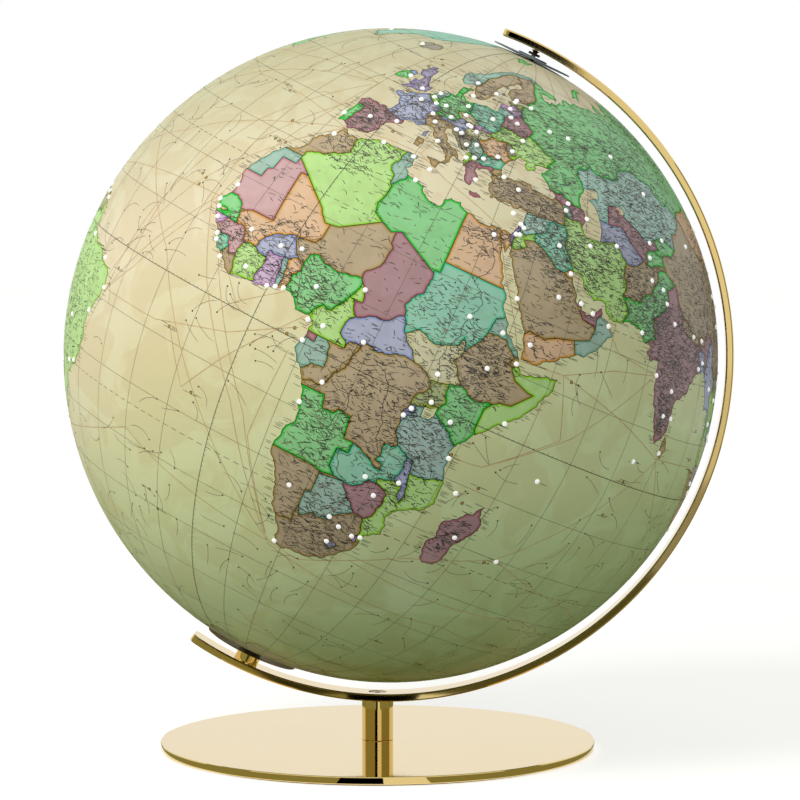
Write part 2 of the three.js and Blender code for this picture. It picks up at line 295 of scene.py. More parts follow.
pad_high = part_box("foot_pad")[1]
foot_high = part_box("foot_plate")[1]
FOOT_R = foot_high[0] / MM
PLATE_LOW = pad_high[2] / MM
PLATE_TOP = foot_high[2] / MM
PLATE_EDGE = 0.5
bm = turned(
    [
        (0, PLATE_LOW),
        (FOOT_R - PLATE_EDGE, PLATE_LOW),
        (FOOT_R - 0.15, PLATE_LOW + 0.15),
        (FOOT_R, PLATE_LOW + PLATE_EDGE),
        (FOOT_R, PLATE_TOP - PLATE_EDGE),
        (FOOT_R - 0.15, PLATE_TOP - 0.15),
        (FOOT_R - PLATE_EDGE, PLATE_TOP),
        (0, PLATE_TOP),
    ],
    288,
)
plate = finished("foot_disc", "stand", bm, polished, smooth=12)
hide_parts("foot_plate")


def felt(name, colour):
    """Pressed felt, mottled and fuzzy."""
    made, nodes, links, shader = new_material(name)
    shader.inputs["Roughness"].default_value = 0.95
    shader.inputs["Sheen Weight"].default_value = 0.3
    spot = nodes.new("ShaderNodeTexCoord")
    fibre = noise(nodes, links, spot.outputs["Object"], 900.0, 8.0)
    tone = nodes.new("ShaderNodeValToRGB")
    tone.color_ramp.elements[0].color = (*[c * 0.5 for c in colour], 1)
    tone.color_ramp.elements[1].color = (*[c * 1.8 for c in colour], 1)
    links.new(fibre, tone.inputs["Fac"])
    links.new(tone.outputs["Color"], shader.inputs["Base Color"])
    links.new(bumped(nodes, links, fibre, 0.6, 0.0003), shader.inputs["Normal"])
    return made


def give(node, material):
    """A finish for a CAD node whose shape stays as it is."""
    slots = frame["nodes"][node].data.materials
    slots.clear()
    slots.append(material)


steel = metal("zinc_steel", (0.55, 0.55, 0.57), 0.3, 0.1)
give("foot_pad", felt("pad_felt", (0.03, 0.03, 0.03)))
give("foot_screw", steel)

# ---- the post --------------------------------------------------------------------------------------------
# A 16 mm brass rod, polished all round. Its top is hollowed to the arm's underside, and a countersunk screw
# comes down through the arm into it.

post_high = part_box("post")[1]
POST_R = post_high[0] / MM
POST_H = 21.0
ARM_X = 4.05
ARM_INNER_R = 177.1
ARM_T = 4.0
ARM_W = 18.0
ARM_Z = PLATE_TOP + POST_H + math.sqrt((ARM_INNER_R + ARM_T) ** 2 - ARM_X**2)
SADDLE_GAP = 0.1
bm = bmesh.new()
bmesh.ops.create_cone(bm, cap_ends=True, segments=128, radius1=POST_R, radius2=POST_R, depth=1)
for v in bm.verts:
    if v.co.z < 0:
        v.co.z = PLATE_TOP
    else:
        v.co.z = ARM_Z - math.sqrt((ARM_INNER_R + ARM_T + SADDLE_GAP) ** 2 - (v.co.x - ARM_X) ** 2)
foot_edges = [e for e in bm.edges if all(abs(v.co.z - PLATE_TOP) < 0.01 for v in e.verts)]
bmesh.ops.bevel(bm, geom=foot_edges, offset=0.3, offset_type="OFFSET", affect="EDGES", segments=2,
                profile=0.5, material=-1)
post = finished("post_rod", "stand", bm, polished, smooth=12)
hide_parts("post")

# ---- the arm ---------------------------------------------------------------------------------------------
# An 18 x 4 mm brass bar with round corners, bent to an arc of 181 mm outer radius and polished. It is made
# flat here, cut across every degree and a half, and then bent.

ARM_FROM, ARM_TO = math.radians(-124.5), math.radians(69.9)
ARM_CORNER_R = 3.5
ARM_EDGE = 0.8
ARM_STEP = math.radians(1.5)
half = ARM_W / 2
start, end = ARM_FROM * ARM_INNER_R, ARM_TO * ARM_INNER_R
bm = bmesh.new()
corners = [bm.verts.new(p) for p in ((start, -half, 0), (end, -half, 0), (end, half, 0), (start, half, 0))]
bm.faces.new(corners)
bmesh.ops.bevel(bm, geom=corners, offset=ARM_CORNER_R, offset_type="OFFSET", affect="VERTICES", segments=10,
                profile=0.5, material=-1)
flat = bmesh.ops.extrude_face_region(bm, geom=bm.faces[:])
raised = [v for v in flat["geom"] if isinstance(v, bmesh.types.BMVert)]
bmesh.ops.translate(bm, verts=raised, vec=(0, 0, ARM_T))
bmesh.ops.recalc_face_normals(bm, faces=bm.faces)
rims = [e for e in bm.edges if abs(e.verts[0].co.z - e.verts[1].co.z) < 0.01]
bmesh.ops.bevel(bm, geom=rims, offset=ARM_EDGE, offset_type="OFFSET", affect="EDGES", segments=2,
                profile=0.5, material=-1)
for i in range(1, int((ARM_TO - ARM_FROM) / ARM_STEP)):
    at = start + i * ARM_STEP * ARM_INNER_R
    if start + ARM_CORNER_R < at < end - ARM_CORNER_R:
        bmesh.ops.bisect_plane(bm, geom=bm.verts[:] + bm.edges[:] + bm.faces[:], dist=0.001,
                               plane_co=(at, 0, 0), plane_no=(1, 0, 0))
for v in bm.verts:
    angle, radius = v.co.x / ARM_INNER_R, ARM_INNER_R + v.co.z
    v.co = (ARM_X + radius * math.cos(angle), v.co.y, ARM_Z + radius * math.sin(angle))
bmesh.ops.recalc_face_normals(bm, faces=bm.faces)
arm = finished("arm_bar", "stand", bm, polished, smooth=14)
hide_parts("meridian_arm")


def drill(piece, bore):
    """Takes the bore's shape, a bmesh in millimetres, out of the piece."""
    bm = bore
    bm.transform(Matrix.Scale(MM, 4))
    mesh = bpy.data.meshes.new("bore")
    bm.to_mesh(mesh)
    bm.free()
    cutter = bpy.data.objects.new("bore", mesh)
    stage.collection.objects.link(cutter)
    cut = piece.modifiers.new("bore", "BOOLEAN")
    cut.operation = "DIFFERENCE"
    cut.solver = "EXACT"
    cut.object = cutter
    bpy.context.view_layer.update()
    done = bpy.data.meshes.new_from_object(piece.evaluated_get(bpy.context.evaluated_depsgraph_get()))
    piece.modifiers.clear()
    piece.data = done
    bpy.data.objects.remove(cutter)


SCREW_HEAD_R = 4.6
SCREW_HOLE_R = 2.8
seat = ARM_Z - math.sqrt(ARM_INNER_R**2 - ARM_X**2)
bore = turned(
    [
        (0, seat - 6),
        (SCREW_HOLE_R, seat - 6),
        (SCREW_HOLE_R, seat - 2.1),
        (SCREW_HEAD_R + 0.3, seat),
        (SCREW_HEAD_R + 1.3, seat + 1),
        (0, seat + 1),
    ],
    48,
)
drill(arm, bore)
give("arm_screw", turned_brass)

# ---- the pivots at both poles ----------------------------------------------------------------------------
# Turned brass pieces on the slanted axis. Under the south pole a polished hub and a thin dish sit on the arm;
# the dish's brass is darkened as painted shade. Over the north pole a flared pin comes down through a black
# collar and the hour dial into the ball.

spin_joint = next(j for j in frame["joints"] if j["name"] == "ball_spin")
CENTRE = Vector(spin_joint["pos_m"]) / MM
AXIS = Vector(spin_joint["axis"]).normalized()
TILT = math.atan2(AXIS.x, AXIS.z)
north = Matrix.Translation(CENTRE) @ Matrix.Rotation(TILT, 4, "Y")
south = north @ Matrix.Rotation(math.pi, 4, "X")
BALL_R = 170.0

HUB = (173.04, 178.04)  # its two ends, from the ball's middle
HUB_R = 6.4
HUB_BORE_R = 4.1
bm = turned(
    [
        (HUB_BORE_R, HUB[0]),
        (HUB_R - 0.3, HUB[0]),
        (HUB_R, HUB[0] + 0.3),
        (HUB_R, HUB[1] + 0.25),
        (HUB_BORE_R, HUB[1] + 0.05),
    ],
    96,
)
hub = finished("south_hub_turned", "stand", bm, polished, place=south)
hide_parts("south_hub")

DISH_R = 25.0
DISH_FLAT_R = 8
DISH_RIM_GAP = 2.3
DISH_FLOOR = HUB[0] - 1.3
rim_height = math.sqrt(BALL_R**2 - DISH_R**2) + DISH_RIM_GAP
slope = [i / 12 for i in range(13)]
radii = [DISH_FLAT_R + (DISH_R - DISH_FLAT_R) * t for t in slope]
rise = rim_height - DISH_FLOOR
inside = [(radius, DISH_FLOOR + rise * t) for radius, t in zip(radii, slope)]
outside = [(radius, DISH_FLOOR + 1 + (rise - 0.6) * t) for radius, t in zip(radii, slope)]
bm = turned([(HUB_BORE_R, DISH_FLOOR)] + inside + outside[::-1] + [(HUB_BORE_R, DISH_FLOOR + 1)], 144)
# The dish is a darker, duller copy of the brass with a dark edge tint: painted shade for the dark that it
# mirrors under the ball.
brass_in_painted_shade = metal("brass_in_painted_shade", (0.34, 0.27, 0.06), 0.14, 0.08)
dish_shader = brass_in_painted_shade.node_tree.nodes["Principled BSDF"]
dish_shader.inputs["Specular Tint"].default_value = (0.25, 0.2, 0.05, 1)
dish = finished("south_dish_turned", "stand", bm, brass_in_painted_shade, smooth=12, place=south)
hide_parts("south_dish")

give("south_pivot", steel)
give("south_screw", turned_brass)
give("thrust_washer", steel)

bm = turned(
    [
        (0, 158),
        (1.0, 158),
        (1.2, 158.3),
        (1.2, 174.0),
        (1.35, 174.5),
        (1.7, 175.0),
        (2.4, 175.5),
        (1.2, 175.5),
        (1.2, 179.5),
        (0, 179.5),
    ],
    48,
)
pin = finished("north_pin_turned", "stand", bm, turned_brass, place=north)
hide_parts("guide_pin")
give("pin_nut", turned_brass)


moulded_cloud, nodes, links, given, put = effect(
    "moulded_cloud",
    {"Vector": "Vector", "Colour": "Color", "Grain": "Float"},
    {"Colour": "Color", "Normal": "Vector"},
)
cloud = noise(nodes, links, given["Vector"], 140.0, 5.0)
level = nodes.new("ShaderNodeMapRange")
level.inputs["To Min"].default_value = 0.85
level.inputs["To Max"].default_value = 1.15
links.new(cloud, level.inputs["Value"])
tone = nodes.new("ShaderNodeVectorMath")
tone.operation = "SCALE"
links.new(given["Colour"], tone.inputs[0])
links.new(level.outputs["Result"], tone.inputs["Scale"])
links.new(tone.outputs["Vector"], put["Colour"])
links.new(bumped(nodes, links, cloud, given["Grain"], 0.0001), put["Normal"])


def moulded(name, colour, roughness, grain):
    """A moulded plastic with a faint grain and a little cloudiness."""
    made, nodes, links, shader = new_material(name)
    shader.inputs["Roughness"].default_value = roughness
    spot = nodes.new("ShaderNodeTexCoord")
    cloud = nodes.new("ShaderNodeGroup")
    cloud.node_tree = moulded_cloud
    cloud.inputs["Colour"].default_value = (*colour, 1)
    cloud.inputs["Grain"].default_value = grain
    links.new(spot.outputs["Object"], cloud.inputs["Vector"])
    links.new(cloud.outputs["Colour"], shader.inputs["Base Color"])
    links.new(cloud.outputs["Normal"], shader.inputs["Normal"])
    return made


black_nylon = moulded("black_nylon", (0.012, 0.012, 0.012), 0.35, 0.2)
PIN_HOLE_R = 1.4
bm = turned(
    [(PIN_HOLE_R, 172.8), (3.0, 172.8), (3.2, 173.2), (3.2, 173.9), (3.0, 174.1), (PIN_HOLE_R, 174.1)], 48
)
collar = finished("pin_collar_turned", "stand", bm, black_nylon, place=north)
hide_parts("pin_collar")

# ---- the hour dial ---------------------------------------------------------------------------------------
# A thin grey disc of printed plastic, 43 mm across, loose on the pin so that it can be set by hand. A ring of
# 24 hour marks is printed near its edge, and a small washer lies on it.

DIAL_R = 21.5
DIAL = (170.4, 171.1)  # its two faces, from the ball's middle
MARK_END = 20.4
MARK_LONG, MARK_SHORT = 17.2, 18.6  # where the marks begin, at each sixth hour and at the others
MARK_HALF_WIDTH = 0.15
dial_grey = moulded("dial_grey", (0.15, 0.2, 0.22), 0.3, 0.05)
bm = turned(
    [
        (PIN_HOLE_R, DIAL[0]),
        (DIAL_R - 0.2, DIAL[0]),
        (DIAL_R, DIAL[0] + 0.2),
        (DIAL_R, DIAL[1] - 0.2),
        (DIAL_R - 0.2, DIAL[1]),
        (PIN_HOLE_R, DIAL[1]),
    ],
    144,
)
dial = finished("hour_dial_disc", "dial", bm, dial_grey, place=north)
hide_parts("hour_dial")
bm = bmesh.new()
for hour in range(24):
    mark = MARK_LONG if hour % 6 == 0 else MARK_SHORT
    low, high = -MARK_HALF_WIDTH, MARK_HALF_WIDTH
    corners = [(mark, low, 0), (MARK_END, low, 0), (MARK_END, high, 0), (mark, high, 0)]
    bar = [bm.verts.new(p) for p in corners]
    bm.faces.new(bar)
    bmesh.ops.rotate(bm, verts=bar, cent=(0, 0, 0), matrix=Matrix.Rotation(math.radians(15 * hour), 3, "Z"))
bmesh.ops.translate(bm, verts=bm.verts, vec=(0, 0, DIAL[1] + 0.03))
marks = finished("dial_marks", "dial", bm, moulded("mark_white", (0.8, 0.8, 0.78), 0.4, 0.05), place=north)
bm = turned(
    [(PIN_HOLE_R, 171.4), (7.8, 171.4), (8, 171.6), (8, 171.9), (7.8, 172.1), (PIN_HOLE_R, 172.1)], 96
)
washer = finished("dial_washer_disc", "dial", bm, dial_grey, place=north)
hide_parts("dial_washer")

# ---- the ball's inside -----------------------------------------------------------------------------------
# Two blown acrylic halves on a glued band, with a nylon bush at each pole. All of it is under the map.

acrylic = moulded("bare_acrylic", (0.75, 0.72, 0.62), 0.35, 0.05)
for node in ("northern_half", "southern_half", "joint_band"):
    give(node, acrylic)
nylon = moulded("bush_nylon", (0.8, 0.77, 0.7), 0.5, 0.2)
give("north_bush", nylon)
give("south_bush", nylon)

# ---- the map's outlines ----------------------------------------------------------------------------------
# The map is a printed film on the ball. Its land is drawn from shore lines and borders in degrees east and
# north, written from an atlas's knowledge of the world, with only the points that each shape needs.

SHORES = {
    "africa": "-6,35.8 -5.3,35.9 -4.4,35.2 -2.9,35.3 -2,35.1 -0.6,35.8 1,36.5 3,36.9 5,36.8 7,37 8.5,37"
    " 9.8,37.3 11,37.1 10.5,36.4 10.7,35.6 11.1,35.2 10.1,34.3 10.9,33.8 11.2,33.2 13,32.9 15.2,32.4"
    " 15.8,31.3 18,30.4 19.2,30.3 20,30.9 19.9,31.9 21,32.8 22.9,32.8 23.2,32.2 25,31.6 27,31.2 29,30.8"
    " 30.3,31.5 31.5,31.5 32.3,31.3 32.5,30 33.5,28 34,26.5 35.5,24 35.5,22.8 37,21.5 37.2,19.5 38.3,18"
    " 39.5,15.6 41,14.5 42.8,12.8 43.3,12.3 43.2,11.5 44.3,10.4 46,10.7 48,11.2 50,11.5 51.2,11.9 51,10.5"
    " 50.7,9.3 49.8,8 48.5,5.5 47,3.5 45.3,2 43.5,0.5 42,-1 40.8,-2.5 40.1,-3.5 39.2,-4.7 38.8,-6 39.5,-7"
    " 39.3,-8.5 40,-10 40.6,-11 40.6,-13 40.8,-15 39.8,-16.4 38,-17.3 36.9,-18 35,-19.8 34.7,-20.8"
    " 35.5,-22 35.5,-23.8 33,-25.2 32.8,-26 32.9,-27 32.4,-28.6 31,-29.9 30,-31.3 28,-33 26,-33.8 24,-34"
    " 22,-34.1 20,-34.8 18.8,-34.2 18.4,-33.8 18,-32.7 18.3,-31.8 17.3,-30.3 16.5,-28.6 15.3,-27 14.8,-25"
    " 14.5,-22.8 13.4,-20.5 11.8,-18 11.8,-16.8 12.4,-14 13.8,-12 13.7,-10.8 13,-9.2 13.3,-8.3 12.3,-6.1"
    " 11.8,-4.8 10,-3 8.8,-1.2 9.4,0.3 9.6,2 9.8,3.4 8.9,4.5 7,4.4 6,4.3 5,5.8 4,6.4 2,6.3 0,5.7 -2,4.8"
    " -4,5.2 -6,4.9 -7.6,4.4 -9.2,5.4 -11,6.7 -12.5,7.5 -13.3,8.5 -13.3,9.3 -15,10.8 -16.5,12.3 -16.8,13.2"
    " -17.5,14.7 -16.5,16 -16.1,18 -16.3,19.5 -17,21 -16.3,22.8 -15.8,23.9 -14.8,25.8 -14.4,26.3 -13,27.9"
    " -11.5,28.3 -10,29.5 -9.7,30.8 -9.8,31.5 -9.2,32.5 -7.5,33.6 -6.5,34.5",
    "madagascar": "49.3,-12 50.4,-15.5 49.4,-18 48,-22 47.1,-25 45,-25.5 43.7,-23.5 43.3,-22 44.4,-20"
    " 44,-17 46,-15.7 48,-14",
    "eurasia": "32.5,30 32.3,31.3 34.2,31.3 34.9,32.8 35.6,34 35.9,35.8 36,36.8 34.6,36.8 33,36.1 31,36.6"
    " 30.5,36.4 29,36.4 27.5,36.9 26.5,38.3 26.9,39.4 26.2,40 27.5,40.5 29,40.8 28,41 26.7,40.6 26,40.8"
    " 24.5,40.9 23.5,40.2 22.8,40.4 22.7,39.6 23.8,38.6 24,37.8 23,37.4 23,36.5 21.8,36.8 21.2,37.8"
    " 21.2,38.5 20,39.6 19.4,40.4 19.5,41.8 18.5,42.5 16.5,43.5 15,44.6 14,45 13.6,45.7 12.4,45.3"
    " 12.4,44.3 13.6,43.6 14.2,42.5 16,41.9 18.4,40.1 17,40.5 16.9,39.4 17.1,39 16.5,38.3 15.7,38 16.1,39"
    " 15.7,40 14.5,40.7 13,41.2 11.8,42.2 10.5,43 10,44 8.8,44.4 7.5,43.8 6,43.1 4.5,43.4 3.1,43 3.2,41.9"
    " 1,41.1 -0.3,39.5 0.2,38.7 -0.7,37.8 -2,36.8 -4.5,36.7 -5.6,36.1 -6.4,36.8 -7.4,37.2 -8.9,37"
    " -8.8,38.4 -9.4,38.8 -8.8,40.2 -8.8,42 -9.2,43.1 -8,43.7 -5,43.6 -2,43.4 -1.3,44.5 -1.1,45.7"
    " -2.2,47.2 -4.6,48 -4.6,48.5 -2,48.7 -1.6,49.6 0.2,49.6 1.6,50.6 2.5,51.1 4,52 5,53.3 7,53.6 8.5,53.7"
    " 8.2,55.5 8.2,57 10.5,57.6 10.3,56.3 9.7,55 11,54.2 14,54 16.5,54.4 18.7,54.6 19.7,54.4 21,55.3 21,57"
    " 22.5,57.6 24.2,57.2 23.5,58.8 25,59.5 28,59.5 30,59.9 28,60.5 25,60.2 23,59.9 21.4,60.8 21.4,62.5"
    " 23,64 25.3,65 24,65.8 22,65.6 21,64.5 18,62.5 17.3,61 17.2,60.2 18.8,59.6 16.8,58 16.3,56.5"
    " 14.3,55.5 12.9,55.5 12.5,56.5 11.5,58 11,59 10.3,59.2 8,58.1 5.7,58.9 5,60.5 5.2,62 8,63.5 11,64.8"
    " 13,66.5 15,68.2 18,69.7 22,70.4 26,71 30,70.5 33,69.4 38,68 41,67 40,66.2 35,66.7 33,66.4 35,64.4"
    " 37.5,64 38,65 40,64.7 42,66.3 44,66 44,68 48,67.7 54,68.5 58,68.8 61,69.5 65,69.2 68,68.5 67,71"
    " 70,73 73,71 72,68 74,67 74,69 77,72 82,73.5 87,74.5 95,76 104,77.5 112,76.5 107,73.5 113,73.7 123,73"
    " 129,71.5 133,71.8 140,72.5 150,71.5 160,69.7 170,69.8 180,68.9 180,65 177.5,64.7 179,62.5 173,61.5"
    " 170,60 164,60 163,58 162,56 160,53.5 157,51.5 156,55 156,57.5 161,60.5 164,62.5 160,61.8 156,61.5"
    " 152,59.2 145,59.4 140,57.7 135,54.8 141,53 140.5,50 138,46.5 135,43.5 132,43.2 130.7,42.3 129.7,41"
    " 127.5,39.8 128.5,38 129.4,36.5 129,35.2 126.5,34.4 126.4,36 126.7,37.7 125,38 125,39.5 121.5,39"
    " 121.5,40.7 119,39.2 117.7,39 119,37.3 122.5,37.2 120,35.5 119.5,34.8 121.8,32 121.9,30.7 121.8,29"
    " 120,26.5 118,24.5 114.5,22.4 111,21.5 110,20.5 109.7,21.5 108,21.5 106,19.5 107,17 109,13.5 109,11.5"
    " 106.8,10.4 105,8.8 105,10.5 103,11 101,12.8 100,13.4 99.3,10.5 100.3,8 102,6.4 103.4,4.5 103.5,1.7"
    " 101.3,2.8 100.3,5.5 98.5,8 98.5,12 97.7,16 96,16.3 94.5,16 94.4,18 92.5,21 91.8,22.5 90.5,22.2"
    " 88.5,21.7 87,21.3 85,19.6 82.3,16.8 80.2,15.5 80.2,13 79.8,10.5 78,8.8 77.5,8.1 76.3,10 74.8,13"
    " 73.5,16 72.8,19 72.8,21.2 70.5,20.8 69,22.2 70.3,22.9 67.5,23.8 66.5,25.3 61.7,25.1 57.3,25.7"
    " 56.8,27.1 54,26.6 51.5,27.9 50.2,30 48.6,30 48,29.5 48.8,28 50,26.6 50.2,25.5 50.8,24.7 51,26"
    " 51.6,25 51.8,24.2 54.3,24.2 56.2,26 56.5,24.5 58.7,23.6 59.8,22.4 57.8,20 55.3,17.6 52,16 49,14.3"
    " 45,12.8 43.5,12.7 43,15 42.5,17 40.8,19.5 39.1,21.5 38.5,23.5 37,25.5 35.2,28 34.95,29.5 34.3,27.9",
    "chukotka": "-180,68.9 -175,67.3 -170,66.2 -173,64.5 -178,65.5 -180,65",
    "black_sea": "29,41.2 31.5,41.2 33.5,42 35,42 36.5,41.2 38.5,41 41,41.2 41.5,42.2 39,43.8 37.5,44.7"
    " 37,45.3 38.5,46.5 39,47.2 36.5,46.7 35,46.2 35.3,45.3 33.6,44.5 32.6,45.5 33,46.1 31,46.6 29.7,45.2"
    " 28.6,44 27.8,42.6 28.1,41.6",
    "caspian": "49,46.5 51.5,46.9 53,46.5 53,45.2 51,44.7 50.3,44.3 52.7,42.5 53.8,40.5 53.8,37.2 50.5,37"
    " 48.9,38.3 49.5,40.3 48,42.5 47.5,44.5",
    "victoria_lake": "31.8,-0.5 33.5,0.2 34.1,-0.5 33.5,-2.3 32,-2.4",
    "aral": "58.5,45.5 60,46.3 61.3,45 59.5,43.8",
    "superior": "-92,46.8 -88,48.5 -84.5,46.7 -88,46.6",
    "michigan": "-87.5,41.8 -87.8,44 -85.5,45.6 -86.2,43",
    "huron": "-84,45.9 -80,45.5 -82.2,43.2 -83.3,44",
    "erie": "-83.3,41.7 -81.5,42.6 -79,42.9 -81,41.6",
    "ontario": "-79.7,43.3 -78,43.9 -76.4,44.2 -76.4,43.3",
    "winnipeg": "-98.5,53.6 -97,52 -96.8,50.6 -98.3,51.5",
    "great_slave": "-116.5,61.2 -112,62.6 -110,62.7 -113.5,61",
    "baikal": "104,51.6 109.5,55.6 109,53.5 106,51.8",
    "britain": "-5.6,50.1 -3.5,50.3 1.3,51 1.7,52.7 0.2,53.2 -1.5,55 -2,56 -2,57.6 -4,57.7 -3.1,58.6"
    " -5,58.5 -5.8,56.6 -4.9,55 -3,54.5 -3.1,53.3 -4.6,53.3 -4.2,52.3 -5.2,51.8 -3,51.4",
    "ireland": "-6.2,53.4 -6.3,52.2 -9.8,51.6 -9.9,53.5 -8.3,54.7 -7.3,55.3 -5.7,54.6",
    "iceland": "-22.5,64 -18,63.4 -14,65 -15,66.3 -20,66 -22.5,66.3 -24,65.4",
    "sicily": "12.5,38 15.6,38.2 15.1,36.7",
    "sardinia": "8.3,41 9.7,41 9.5,39.1 8.4,39.1",
    "corsica": "9.4,43 9.5,41.5 8.7,41.6 8.6,42.4",
    "crete": "23.5,35.6 26.2,35.3 24,34.8",
    "cyprus": "32.4,35.1 34.5,35.6 33.8,34.9 32.5,34.7",
    "svalbard": "11,79.5 20,80.3 27,79.9 20,77.5 16,76.7",
    "novaya": "52,71 57,70.6 60,74 68,76.6 62,76 55,73",
    "ceylon": "79.8,8 80.3,9.8 81.8,7.5 80.7,6 80,6.3",
    "taiwan": "120.2,23 121,22 122,25.2 121,25",
    "hainan": "108.7,19.2 111,20 109.5,18.2",
    "honshu": "131,34 133,35.5 136,35.7 137,37.5 139,38 140,41.3 142,39.5 141,36.5 140,35 137,34.6"
    " 135.7,33.5 133,34.3",
    "kyushu": "130,33.5 132,33.3 131.3,31.3 130.2,31.3",
    "shikoku": "132.5,33.8 134.5,34.2 133,32.8",
    "hokkaido": "140,41.6 141,43.2 141.8,45.4 145.3,44 145.5,43.2 143,42",
    "sakhalin": "142,54.3 143.2,52 144.5,49 142.8,46 142,47.5 142,51",
    "luzon": "120.5,18.5 122.2,18.4 121.6,16 124,12.7 120.7,13.8 119.8,16.2",
    "mindanao": "122,7 123.5,8.6 125.5,9.7 126.5,7 125.5,5.7 124,6.8",
    "panay": "122,11.7 123.2,11.4 123.3,9.3 122.2,10",
    "samar": "124.3,12.5 125.5,12.3 125.2,10.2 124.4,10.9",
    "palawan": "117.2,8.4 119.5,11.2 118.5,9",
    "borneo": "109,1.8 111.5,2.6 114,4.6 117,7 119,5.2 117.7,3.2 118.8,1 116.3,-1.8 116,-4 113,-3.2"
    " 110.2,-2.8 109,0",
    "sumatra": "95.3,5.6 97.8,5.2 100.4,2.4 103.7,-0.8 106,-3 105.8,-5.8 104.5,-5.8 101,-2.6 98.8,1.5",
    "java": "105.2,-6.8 108.5,-6.6 112.6,-6.9 114.4,-7.9 114.4,-8.7 110,-8.2 106.5,-7.4",
    "flores": "119.9,-8.4 122.9,-8.3 122,-8.9 120,-8.9",
    "sumbawa": "116,-8.4 119,-8.3 118.9,-8.9 116,-8.9",
    "timor": "123.6,-10.3 125.8,-9.6 127.2,-8.5 125,-8.9",
    "celebes": "119,-0.5 120,1.2 124.9,1.5 120.5,0.4 120.2,-0.9 123.2,-0.8 121.5,-2 122.6,-4.3 121.5,-4.7"
    " 120.6,-3 120.4,-5.5 119.4,-5.4 119.5,-3.4",
    "halmahera": "127.5,1 128.5,1.5 128,-0.7",
    "ceram": "128,-3.2 130.7,-3.4 128.5,-3.7",
    "new_guinea": "131,-0.8 134,-0.9 135,-3.3 138,-1.6 141,-2.6 145,-4.3 147.8,-6 147.2,-7.3 150.7,-10.3"
    " 147,-9.5 143.3,-9 141,-9.1 138,-8.4 138.5,-6.8 134,-4 132.8,-2.9 133.8,-2.4",
    "new_britain": "148.5,-5.6 152,-4.3 151.5,-5.8",
    "australia": "114.2,-22 116.7,-20.7 119,-20 122,-18 122.3,-17 124,-16.3 126,-14.2 128.3,-14.9"
    " 129.5,-14.9 130.8,-12.4 132.6,-11.4 136.8,-12.2 135.5,-14.8 139,-17.4 140.8,-17.5 141.7,-14"
    " 142.5,-10.8 143.6,-14.3 145.3,-15 146,-18.8 149,-20.5 151,-23.5 153.2,-25 153.6,-28.6 152.5,-32.3"
    " 150.2,-36.5 149.9,-37.5 147,-38.2 145,-38 143.5,-38.8 140.6,-38 139.5,-36 138,-35.6 138,-33.3"
    " 136,-34.8 135.2,-34.5 134,-32.8 131,-31.5 126,-32.3 123.8,-33.9 120,-34 118,-35 115.2,-34.2"
    " 115.8,-32 115,-30 113.5,-26.5 113.7,-23",
    "tasmania": "144.8,-40.8 148.2,-40.8 147.8,-43.2 146,-43.5",
    "north_island": "172.8,-34.5 175,-36.5 178.3,-37.7 176.8,-40 175.2,-41.5 173.8,-39.2 174.8,-37.5",
    "south_island": "172.7,-40.6 174.2,-41.5 172.8,-43.7 170.7,-45.8 168.4,-46.6 166.6,-46 170.5,-43",
    "north_america": "-168,65.7 -163,66.5 -166,68.3 -157,71.3 -150,70.5 -141,69.6 -135,69.3 -128,70.2"
    " -118,69 -114,68.3 -108,68 -101,67.7 -96,68.2 -94,71.5 -90,69 -85,69.5 -82,67.5 -87,64.5 -93,62"
    " -94.5,59 -92.5,57 -88,56.5 -82.3,55.2 -82,53 -80,51.3 -78.7,52 -79.5,54.7 -77,57 -78.3,59.5"
    " -77.5,62.4 -73,62 -69.5,61 -69.5,58.8 -67,58.3 -64.5,60.3 -61.5,57 -57.5,54.3 -55.7,52.2 -60,50.2"
    " -66.5,50.2 -70,47.3 -65,48.8 -64.8,47 -61.5,45.8 -60,46.4 -64,44.5 -66,43.6 -66.5,45 -70,43.7"
    " -70.8,42.5 -70,41.7 -74,40.7 -75.5,38 -76.3,37 -75.7,35.3 -78,34 -81,32 -81.4,30.5 -80.2,27"
    " -80.4,25.3 -81.8,26.2 -82.8,28 -84,30 -88,30.3 -89.3,29.2 -91,29.3 -94,29.5 -97.2,27.5 -97.5,25"
    " -97.8,22.5 -96.3,19.3 -94.5,18.2 -92,18.6 -90.7,19.5 -90.3,21 -87.1,21.5 -87.8,18.3 -88.8,15.9"
    " -86,15.9 -83.4,15 -83.6,12 -83.6,10.8 -82,9 -79.5,9.5 -77.3,8.6 -78,7.5 -79,8.8 -80.5,7.4 -82.8,8.2"
    " -85.7,10 -87.6,12.9 -91.5,14 -94,16.2 -96.5,15.7 -101,17.4 -105.5,20.2 -105.5,22 -109,25.5"
    " -112.5,29.5 -114.7,31.7 -113,29 -110.5,25 -109.5,23 -112,25 -114.5,28 -116.5,31 -117.2,32.7"
    " -120.5,34.5 -122.5,37.6 -124.3,40.3 -124.2,43 -124,46.5 -124.6,48.3 -122.5,49 -127.5,51 -130.5,54.5"
    " -134,58 -139.7,59.7 -145,60.5 -149,60 -152,60.7 -155,58 -162,55 -157.5,58.6 -162,58.7 -165,61"
    " -164.5,63 -161,64.4 -166,64.5",
    "south_america": "-77.3,8.6 -75.5,10.6 -72,12 -71.5,11 -70,12 -68,10.8 -64.5,10.2 -61.8,10.6 -60.8,8.5"
    " -57.5,6.2 -54,5.8 -51.6,4.2 -50,1.5 -50,-0.5 -48,-1 -44.5,-2.6 -41,-3 -37.2,-4.7 -35.2,-5.8 -34.9,-8"
    " -37,-11 -39,-13.5 -39,-17.8 -40.5,-21 -42,-23 -45,-23.8 -48.3,-26 -48.7,-28.5 -52.2,-32.5 -54,-34.8"
    " -57.5,-34.5 -58.3,-34 -57,-36.3 -57.7,-38.2 -62,-39 -62.5,-41 -65,-41 -64,-43 -67.3,-45.5 -66,-48"
    " -69,-50.5 -68.5,-52.4 -71,-53.8 -74.5,-52 -75.5,-48.5 -73.5,-46 -72.8,-42 -73.5,-39.5 -73,-36.5"
